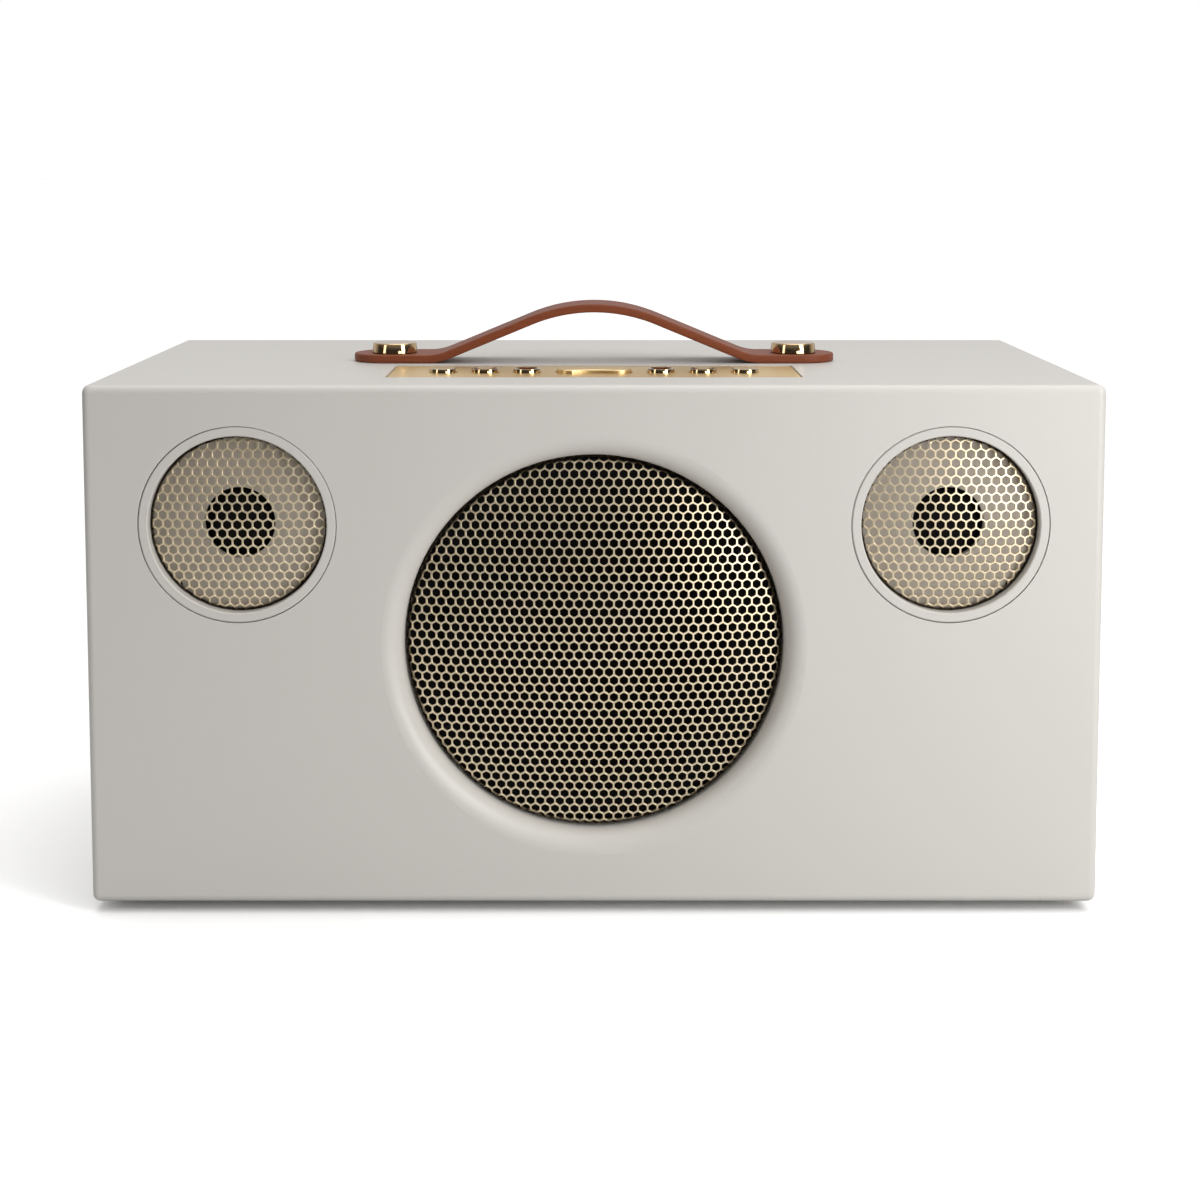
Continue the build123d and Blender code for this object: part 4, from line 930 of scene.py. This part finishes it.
# ---------------------------------------------------------------- speakers
@dataclass
class BassSpeaker:
    """The bass speaker behind its domed guard."""

    guard: DomedGrille = field(
        default_factory=lambda: DomedGrille(
            "woofer_grille", curve=316 * MM, bend=3.7 * MM, pitch=3.74 * MM
        )
    )
    finishes: dict[str, Finish] = field(
        default_factory=lambda: {
            "woofer_basket": POWDER_COAT,
            "woofer_gasket": FOAM,
            "woofer_top_plate": ZINC_PLATE,
            "woofer_magnet": FERRITE,
            "woofer_pole": ZINC_PLATE,
            "woofer_cone": PAPER_PULP,
            "woofer_dust_cap": PAPER_PULP,
            "woofer_voice_coil": WOUND_COPPER,
            "woofer_surround": BUTYL,
            "woofer_spider": DOPED_CLOTH,
            "woofer_screws": BLACK_OXIDE,
        }
    )

    def build(self) -> None:
        """Builds the guard and dresses the speaker."""
        self.guard.build(PERFORATED_BRASS, "grille_brass")
        dress_nodes(self.finishes)


@dataclass
class Tweeter:
    """One tweeter: its painted ring and plate, its dome and its domed guard.

    Attributes:
        side: which side of the cabinet it is on.
        curve: radius of the guard's dome.
        bend: radius of the bend at the guard's rim.
        pitch: distance between neighbouring holes.
    """

    side: Side
    curve: float = 150 * MM
    bend: float = 1.4 * MM
    pitch: float = 3.8 * MM

    def build(self) -> None:
        """Builds the guard and dresses the tweeter."""
        where = self.side.value
        guard = DomedGrille(
            f"tweeter_grille_{where}",
            self.curve,
            self.bend,
            self.pitch,
            # Where the painted shade on the guard's rim starts and where it is full
            rim_shade_from=1.7 * MM,
            rim_shade_to=0.8 * MM,
            bend_cuts=4,
            bend_lead=0.6,
        )
        guard.build(PERFORATED_BRASS, "grille_brass")
        # Satin paint on the plate, with a painted ring of shade under the guard's rim
        plate = PlateWithPaintedRimShade(
            f"satin_paint_on_masked_plate_{where}",
            # The cabinet's paint darkened: painted shade from the guard over the sunk plate
            "#b9b1a6",
            "#b3aba0",
            grain=0.5 * MM,
            depth=0.003 * MM,
            patch=40 * MM,
            roughness=0.5,
            spread=0.03,
            axis=(guard.centre.x, guard.centre.z),
        )
        dress_nodes(
            {
                f"tweeter_ring_{where}": SATIN_PAINT_ON_ABS,
                f"tweeter_faceplate_{where}": plate,
                f"tweeter_dome_{where}": COATED_SILK,
                f"tweeter_surround_{where}": COATED_SILK,
                f"tweeter_magnet_{where}": FERRITE,
            }
        )


# ---------------------------------------------------------------- controls
@dataclass
class PushButton:
    """One turned brass button with a hollow in its top.

    Attributes:
        node: the CAD node that it stands for, which is also its body.
        rim: width of the flat ring round the hollow.
        hollow: depth of the hollow.
        taper: how much narrower it is at its top than at the strip.
        stem_radius: radius of the stem that presses its switch.
        lip_width: how far its lip reaches out under the strip.
        lip_height: thickness of that lip.
        dish_steps: stretches in the curve of its hollow.
        steps: points round it.
    """

    node: str
    rim: float = 0.55 * MM
    hollow: float = 0.7 * MM
    taper: float = 0.16 * MM
    stem_radius: float = 2.0 * MM
    lip_width: float = 1.2 * MM
    lip_height: float = 1.0 * MM
    dish_steps: int = 8
    steps: int = 96

    def build(self, panel_top: float, panel_under: float) -> None:
        """Builds the button.

        Args:
            panel_top: height of the strip's face.
            panel_under: height of its underside, where the button's lip stops it.
        """
        low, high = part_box(self.node)
        centre = (low + high) / 2
        lip_radius = (high.x - low.x) / 2
        radius = lip_radius - self.lip_width
        top = high.z
        mouth = radius - self.taper - self.rim
        curve = (mouth**2 + self.hollow**2) / (2 * self.hollow)
        reaches = [mouth * i / self.dish_steps for i in range(self.dish_steps + 1)]
        dish = [(r, top - self.hollow + curve - math.sqrt(curve**2 - r**2)) for r in reaches]
        edge = radius - self.taper
        outline = dish + [
            (mouth + 0.12 * MM, top),
            (edge - 0.22 * MM, top),
            (edge - 0.06 * MM, top - 0.07 * MM),
            (edge, top - 0.24 * MM),
            (radius, panel_top),
            (radius, panel_under),
            (lip_radius, panel_under),
            (lip_radius, panel_under - self.lip_height),
            (self.stem_radius, panel_under - self.lip_height),
            (self.stem_radius, low.z),
            (0.0, low.z),
        ]
        base = Vector((centre.x, centre.y, 0))
        points, faces = turned_piece(outline, base, UP, ACROSS, self.steps)
        finish = Turned(
            f"turned_brass_{self.node}",
            "#dcc197",
            "#cdab7c",
            grain=0.14 * MM,
            depth=0.0015 * MM,
            patch=10 * MM,
            roughness=0.1,
            spread=0.03,
            metallic=1.0,
            axis=(centre.x, centre.y),
        )
        finish_piece(
            f"{self.node}_turned",
            points,
            faces,
            finish,
            self.node,
            (self.node,),
            sharp_degrees=40.0,
        )


@dataclass
class Controls:
    """The brass strip in the top with its buttons, rocker and what is under them."""

    finishes: dict[str, Finish] = field(
        default_factory=lambda: {
            "control_panel": BRUSHED_BRASS,
            "control_frame": MOULDED_ABS,
            "control_board": SOLDER_MASK,
            "tact_switches": MOULDED_ABS,
            "rocker_pin": ZINC_PLATE,
            "volume_rocker": BRUSHED_BRASS,
            "tweeter_screws": BLACK_OXIDE,
        }
    )

    def build(self) -> None:
        """Dresses the strip and its rocker and builds its buttons."""
        dress_nodes(self.finishes)
        low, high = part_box("control_panel")
        for side in Side:
            for place in ("inner", "middle", "outer"):
                PushButton(f"button_{side.value}_{place}").build(high.z, low.z)


# ---------------------------------------------------------------- strap
@dataclass
class CarryingStrap:
    """A leather strap cut with round ends, arched over the cabinet and held by two bolts.

    Attributes:
        angle: slope of its flanks, in radians.
        crown_radius: underside radius of the top of the arch.
        foot_radius: underside radius where the arch leaves the cabinet.
        rise: height of the arch's underside.
        thickness: of the leather.
        bolt_offset: from the middle to each bolt.
        bolt_head_radius: radius of a bolt's head, which presses into the leather.
        press: how far the leather is pressed in round a head.
        press_fade: distance from a head over which that dies away.
        wander: how unevenly the grain side lies.
        wander_rate: how many times in a metre that unevenness turns.
        edge_from: how much of a point's normal faces outwards where the cut edge's tone starts.
        edge_blend: how much further that is where the tone is full.
    """

    angle: float = math.radians(22.5)
    crown_radius: float = 66 * MM
    foot_radius: float = 26 * MM
    rise: float = 20.9 * MM
    thickness: float = 3.4 * MM
    bolt_offset: float = 82.8 * MM
    bolt_head_radius: float = 9.3 * MM
    press: float = 0.25 * MM
    press_fade: float = 1.1 * MM
    wander: float = 0.05 * MM
    wander_rate: float = 60.0
    edge_from: float = 0.35
    edge_blend: float = 0.4

    def __post_init__(self) -> None:
        """Reads its place and size from the frame and works out its stretches."""
        low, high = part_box("strap")
        self.base = low.z
        self.middle_y = (low.y + high.y) / 2
        self.half_width = (high.y - low.y) / 2
        self.crown_length = self.crown_radius * self.angle
        self.foot_length = self.foot_radius * self.angle
        crown_run, crown_drop = self.arc_run(self.crown_radius)
        foot_run, foot_rise = self.arc_run(self.foot_radius)
        flank_rise = self.rise - crown_drop - foot_rise
        self.flank_length = flank_rise / math.sin(self.angle)
        self.arch_half = crown_run + flank_rise / math.tan(self.angle) + foot_run
        self.half_length = (
            self.crown_length + self.flank_length + self.foot_length + (high.x - low.x) / 2 - self.arch_half
        )

    def arc_run(self, radius: float) -> tuple[float, float]:
        """Returns how far an arc of the flank's angle goes along and up."""
        return radius * math.sin(self.angle), radius * (1 - math.cos(self.angle))

    def place(self, along: float) -> tuple[float, float, float]:
        """Finds a point of the underside and its slope.

        Args:
            along: distance from the middle, measured on the leather.

        Returns:
            X, height over the cabinet, and the angle by which the strap leans outwards.
        """
        side = math.copysign(1, along)
        left = abs(along)
        if left < self.crown_length:
            lean = left / self.crown_radius
            return (
                side * self.crown_radius * math.sin(lean),
                self.rise - self.crown_radius * (1 - math.cos(lean)),
                side * lean,
            )
        left -= self.crown_length
        run, drop = self.arc_run(self.crown_radius)
        if left < self.flank_length:
            x = run + left * math.cos(self.angle)
            return side * x, self.rise - drop - left * math.sin(self.angle), side * self.angle
        left -= self.flank_length
        if left < self.foot_length:
            lean = self.angle - left / self.foot_radius
            x = self.arch_half - self.foot_radius * math.sin(lean)
            return side * x, self.foot_radius * (1 - math.cos(lean)), side * lean
        return side * (self.arch_half + left - self.foot_length), 0.0, 0.0

    def outline(self, inset: float, steps: int = 120, cap_steps: int = 28) -> list[tuple[float, float]]:
        """Returns the cut shape, drawn in by an inset: two straight sides and two round ends.

        Args:
            inset: how far inside the cut edge.
            steps: points along each straight side.
            cap_steps: points round each end.

        Returns:
            (distance along, distance across) of each point.
        """
        straight = self.half_length - self.half_width
        radius = self.half_width - inset
        points = [(-straight + 2 * straight * i / steps, -radius) for i in range(steps)]
        for i in range(cap_steps):
            a = -math.pi / 2 + math.pi * i / cap_steps
            points.append((straight + radius * math.cos(a), radius * math.sin(a)))
        points += [(straight - 2 * straight * i / steps, radius) for i in range(steps)]
        for i in range(cap_steps):
            a = math.pi / 2 + math.pi * i / cap_steps
            points.append((-straight + radius * math.cos(a), radius * math.sin(a)))
        return points

    def pressed(self, x: float, across: float) -> float:
        """Returns how far the grain side sinks near a bolt's head."""
        away = math.hypot(abs(x) - self.bolt_offset, across) - self.bolt_head_radius
        return self.press * math.exp(-max(away, 0) / self.press_fade)

    def section(self) -> list[tuple[float, float]]:
        """Returns (inset, height) round the leather's edge, from its underside to its grain side."""
        t = self.thickness
        lower = [(1.0, 0.0), (0.6, 0.02), (0.25, 0.15), (0.06, 0.45), (0.0, 0.95), (0.0, t / MM / 2)]
        rounds = [(i * MM, h * MM) for i, h in lower]
        rounds += [(i, t - h) for i, h in reversed(rounds[:-1])]
        inner = [share * self.half_width for share in (1, 0.75, 0.5, 0.25)] + [2 * MM]
        return [(i, 0.0) for i in inner] + rounds + [(i, t) for i in reversed(inner)]

    def build(self) -> None:
        """Builds the strap with its rounded edge and pressed-in bolt seats."""
        section = self.section()
        rows = []
        for inset, height in section:
            top_share = height / self.thickness
            for along, across in self.outline(inset):
                x, z, lean = self.place(along)
                lift = height
                if top_share > 0.5:
                    weight = 2 * top_share - 1
                    lift -= self.pressed(x, across) * weight
                    if abs(x) < self.arch_half:
                        spot = Vector((along, across, 0)) * self.wander_rate
                        lift += self.wander * noise.noise(spot) * weight
                rows.append(
                    (
                        x + lift * math.sin(lean),
                        self.middle_y + across,
                        self.base + z + lift * math.cos(lean),
                    )
                )
        count = len(rows) // len(section)
        faces: list[tuple[int, ...]] = []
        for level in range(len(section) - 1):
            faces += ring_faces(level * count, (level + 1) * count, count)
        piece = finish_piece(
            "strap_leather_cut",
            np.array(rows),
            faces,
            STRAP_LEATHER,
            "cabinet",
            ("strap",),
            sharp_degrees=60.0,
        )
        self.mark_cut_edge(piece)

    def mark_cut_edge(self, piece: bpy.types.Object) -> None:
        """Marks the points of the cut edge, so that the leather has its own tone there."""
        mesh = piece.data
        mark = mesh.attributes.new("cut_edge", "FLOAT", "POINT")
        for vertex in mesh.vertices:
            normal = vertex.normal
            across = max(abs(normal.y), abs(normal.x) if abs(vertex.co.x) > self.arch_half else 0.0)
            share = (across - self.edge_from) / self.edge_blend
            mark.data[vertex.index].value = min(max(share, 0.0), 1.0)


@dataclass
class StrapBolts:
    """Two turned brass bolts with cylindrical heads.

    Attributes:
        shank_radius: radius of the threaded part.
        chamfer: width of the broken edge round the top.
        taper: how much narrower a head is at its top than at its foot.
        foot_chamfer: width of the broken edge round the head's foot.
        tip_chamfer: width of the broken edge round the shank's end.
    """

    shank_radius: float = 3.0 * MM
    chamfer: float = 0.35 * MM
    taper: float = 0.36 * MM
    foot_chamfer: float = 0.25 * MM
    tip_chamfer: float = 0.5 * MM

    def build(self, strap: CarryingStrap) -> None:
        """Builds both bolts as one piece.

        Args:
            strap: the strap that they hold.
        """
        low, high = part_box("strap_bolts")
        seat = strap.base + strap.thickness
        radius = strap.bolt_head_radius
        top = radius - self.taper
        head = high.z - seat
        length = seat - low.z
        outline = [
            (0.0, head - 0.08 * MM),
            (radius * 0.55, head - 0.05 * MM),
            (top - self.chamfer - 0.3 * MM, head),
            (top - self.chamfer, head - 0.02 * MM),
            (top - 0.12 * MM, head - self.chamfer + 0.1 * MM),
            (top, head - self.chamfer - 0.1 * MM),
            (radius, self.foot_chamfer),
            (radius - self.foot_chamfer, 0.0),
            (self.shank_radius, 0.0),
            (self.shank_radius, -length + self.tip_chamfer),
            (self.shank_radius - self.tip_chamfer, -length),
            (0.0, -length),
        ]
        points: list[np.ndarray] = []
        faces: list[tuple[int, ...]] = []
        for side in (-1, 1):
            centre = Vector((side * strap.bolt_offset, strap.middle_y, seat))
            own, own_faces = turned_piece(outline, centre, UP, ACROSS)
            start = sum(len(p) for p in points)
            faces += [tuple(i + start for i in f) for f in own_faces]
            points.append(own)
        finish_piece(
            "strap_bolts_turned",
            np.concatenate(points),
            faces,
            POLISHED_BRASS,
            "cabinet",
            ("strap_bolts",),
            sharp_degrees=30.0,
        )
        dress_nodes({"strap_nuts": ZINC_PLATE})


# ---------------------------------------------------------------- back and electronics
@dataclass
class Electronics:
    """The connector plate, its sockets and switch, and the boards inside."""

    finishes: dict[str, Finish] = field(
        default_factory=lambda: {
            "connector_plate": POWDER_COAT,
            "plate_screws": BLACK_OXIDE,
            "mains_inlet": MOULDED_ABS,
            "switch_frame": MOULDED_ABS,
            "power_switch": GLOSS_ABS,
            "pairing_button": GLOSS_ABS,
            "aux_socket": ZINC_PLATE,
            "phono_sockets": GOLD_PLATE,
            "amplifier_board": SOLDER_MASK,
            "heat_sink": EXTRUDED_ALUMINIUM,
            "power_supply_board": SOLDER_MASK,
            "mains_transformer": POLYESTER_TAPE,
            "wireless_board": SOLDER_MASK,
        }
    )

    def dress(self) -> None:
        """Gives each piece its finish."""
        dress_nodes(self.finishes)


# ---------------------------------------------------------------- studio
@dataclass(frozen=True)
class Softbox:
    """A flat soft light that faces the cabinet.

    Attributes:
        name: the light's name.
        azimuth: degrees round from the front, towards the right.
        height: of its middle over the floor.
        distance: from the cabinet's middle.
        size: its width and height.
        power: in watts.
    """

    name: str
    azimuth: float
    height: float
    distance: float
    size: tuple[float, float]
    power: float

    def hang(self, target: Vector) -> None:
        """Hangs the light.

        Args:
            target: the point that it faces.
        """
        data = bpy.data.lights.new(self.name, "AREA")
        data.shape = "RECTANGLE"
        data.size, data.size_y = self.size
        data.energy = self.power
        light = bpy.data.objects.new(self.name, data)
        a = math.radians(self.azimuth)
        light.location = (self.distance * math.sin(a), -self.distance * math.cos(a), self.height)
        aim = target - light.location
        light.rotation_euler = aim.to_track_quat("-Z", "Y").to_euler()
        light.visible_camera = False
        bpy.context.scene.collection.objects.link(light)


@dataclass
class Studio:
    """A pale floor, soft lights and the camera.

    Attributes:
        camera_distance: from the camera to the cabinet's front, along Y.
        camera_above_top: from the cabinet's top up to the camera.
        tilt: how far the camera looks down, in degrees.
        lens: focal length in millimetres on a 36 mm sensor.
        shift: sideways and upward shift, as shares of the picture.
        floor_half: half the floor's side.
        card_seen: the card's tone where the camera sees it. It is over one, so that the shade
            of the sky doesn't turn the floor grey.
        card_near: the card's tone for light that bounces off it near the cabinet.
        card_far: the same, far from the cabinet.
        overhead_power: strength of the broad light from above.
        aim_height: height of the point that the softboxes face.
        softboxes: the softboxes in front.
    """

    camera_distance: float = 734.5 * MM
    camera_above_top: float = 83.0 * MM
    tilt: float = 5.03
    lens: float = 59.98
    shift: tuple[float, float] = (0.005, -0.22)
    floor_half: float = 30.0
    card_seen: float = 1.19
    card_near: float = 0.55
    card_far: float = 0.04
    overhead_power: float = 1.2
    aim_height: float = 0.12
    softboxes: tuple[Softbox, ...] = (
        Softbox("right_softbox", 46, height=0.44, distance=0.85, size=(0.26, 0.9), power=4.8),
        Softbox("front_softbox", 27, height=0.22, distance=0.95, size=(0.26, 0.4), power=1.6),
        Softbox("left_softbox", -53, height=0.50, distance=1.2, size=(0.24, 0.9), power=1.8),
    )

    def build(self) -> None:
        """Builds the camera, the floor and the lights."""
        self.place_camera()
        self.lay_floor()
        self.light_room()

    def place_camera(self) -> None:
        """Places the camera in front of the cabinet, looking slightly down."""
        low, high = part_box("cabinet_shell")
        data = bpy.data.cameras.new("camera")
        data.lens = self.lens
        data.sensor_width = 36.0
        data.shift_x, data.shift_y = self.shift
        data.clip_start = 0.01
        data.clip_end = 100.0
        camera = bpy.data.objects.new("camera", data)
        camera.location = (0, low.y - self.camera_distance, high.z + self.camera_above_top)
        camera.rotation_euler = (math.radians(90 - self.tilt), 0, 0)
        bpy.context.scene.collection.objects.link(camera)
        bpy.context.scene.camera = camera

    def lay_floor(self) -> None:
        """Lays a wide sheet of white card, a little uneven in tone, that runs out of sight."""
        half = self.floor_half
        mesh = bpy.data.meshes.new("floor")
        corners = [(-half, -half, 0), (half, -half, 0), (half, half, 0), (-half, half, 0)]
        mesh.from_pydata(corners, [], [(0, 1, 2, 3)])
        floor = bpy.data.objects.new("floor", mesh)
        bpy.context.scene.collection.objects.link(floor)
        material = bpy.data.materials.new("white_card")
        material.use_nodes = True
        tree = material.node_tree
        tree.nodes.clear()
        seen = add_node(tree, "LightPath").outputs["Is Camera Ray"]
        place = add_node(tree, "TexCoord").outputs["Object"]
        away = add_node(tree, "VectorMath", {"operation": "LENGTH"}, i0=place)
        table = add_node(
            tree,
            "MapRange",
            Value=away.outputs["Value"],
            From_Min=0.5,
            From_Max=1.2,
            To_Min=self.card_near,
            To_Max=self.card_far,
        )
        mottle = add_node(tree, "TexNoise", Vector=place, Scale=3.0, Detail=3.0)
        bounced = mixed(tree, mottle.outputs["Fac"], (1, 1, 1, 1), (0.96, 0.96, 0.96, 1))
        dimmed = add_node(
            tree, "VectorMath", {"operation": "SCALE"}, i0=bounced, Scale=table.outputs[0]
        )
        tone = mixed(tree, seen, dimmed.outputs[0], (*[self.card_seen] * 3, 1))
        card = add_node(tree, "BsdfDiffuse", Color=tone)
        add_node(tree, "OutputMaterial", Surface=card.outputs["BSDF"])
        mesh.materials.append(material)

    def light_room(self) -> None:
        """Lights the room: a grey sky, a broad soft light from above and three softboxes in front."""
        world = bpy.data.worlds.new("studio")
        world.use_nodes = True
        tree = world.node_tree
        tree.nodes.clear()
        seen = add_node(tree, "LightPath").outputs["Is Camera Ray"]
        direction = add_node(tree, "TexCoord").outputs["Generated"]
        towards = add_node(tree, "SeparateXYZ", Vector=direction)
        backdrop = add_node(
            tree,
            "MapRange",
            {"interpolation_type": "SMOOTHSTEP"},
            Value=towards.outputs["Y"],
            From_Min=-0.1,
            From_Max=0.6,
            To_Min=0.045,
            To_Max=0.62,
        )
        ceiling = add_node(
            tree,
            "MapRange",
            Value=towards.outputs["Z"],
            From_Min=0.25,
            From_Max=0.95,
            To_Min=0.0,
            To_Max=0.68,
        )
        room = add_node(
            tree, "Math", {"operation": "MAXIMUM"}, i0=backdrop.outputs[0], i1=ceiling.outputs[0]
        )
        dim = add_node(tree, "Background", Color=(1, 0.995, 0.985, 1), Strength=room.outputs[0])
        white = add_node(tree, "Background", Color=(1, 1, 1, 1), Strength=1.0)
        both = add_node(tree, "MixShader", i0=seen, i1=dim.outputs[0], i2=white.outputs[0])
        add_node(tree, "OutputWorld", Surface=both.outputs[0])
        bpy.context.scene.world = world

        data = bpy.data.lights.new("overhead", "SUN")
        data.energy = self.overhead_power
        data.angle = math.radians(60)
        overhead = bpy.data.objects.new("overhead", data)
        overhead.rotation_euler = (math.radians(-10), math.radians(6), 0)
        bpy.context.scene.collection.objects.link(overhead)

        for softbox in self.softboxes:
            softbox.hang(Vector((0, 0, self.aim_height)))
        bpy.context.scene.view_settings.view_transform = "Standard"


def main() -> None:
    """Builds the radio and its studio in order."""
    logging.basicConfig(level=logging.INFO, format="%(name)s %(message)s")
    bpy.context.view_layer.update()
    Studio().build()
    Cabinet().dress()
    BassSpeaker().build()
    for side in Side:
        Tweeter(side).build()
    Controls().build()
    strap = CarryingStrap()
    strap.build()
    StrapBolts().build(strap)
    Electronics().dress()


if __name__ == "__main__":
    main()
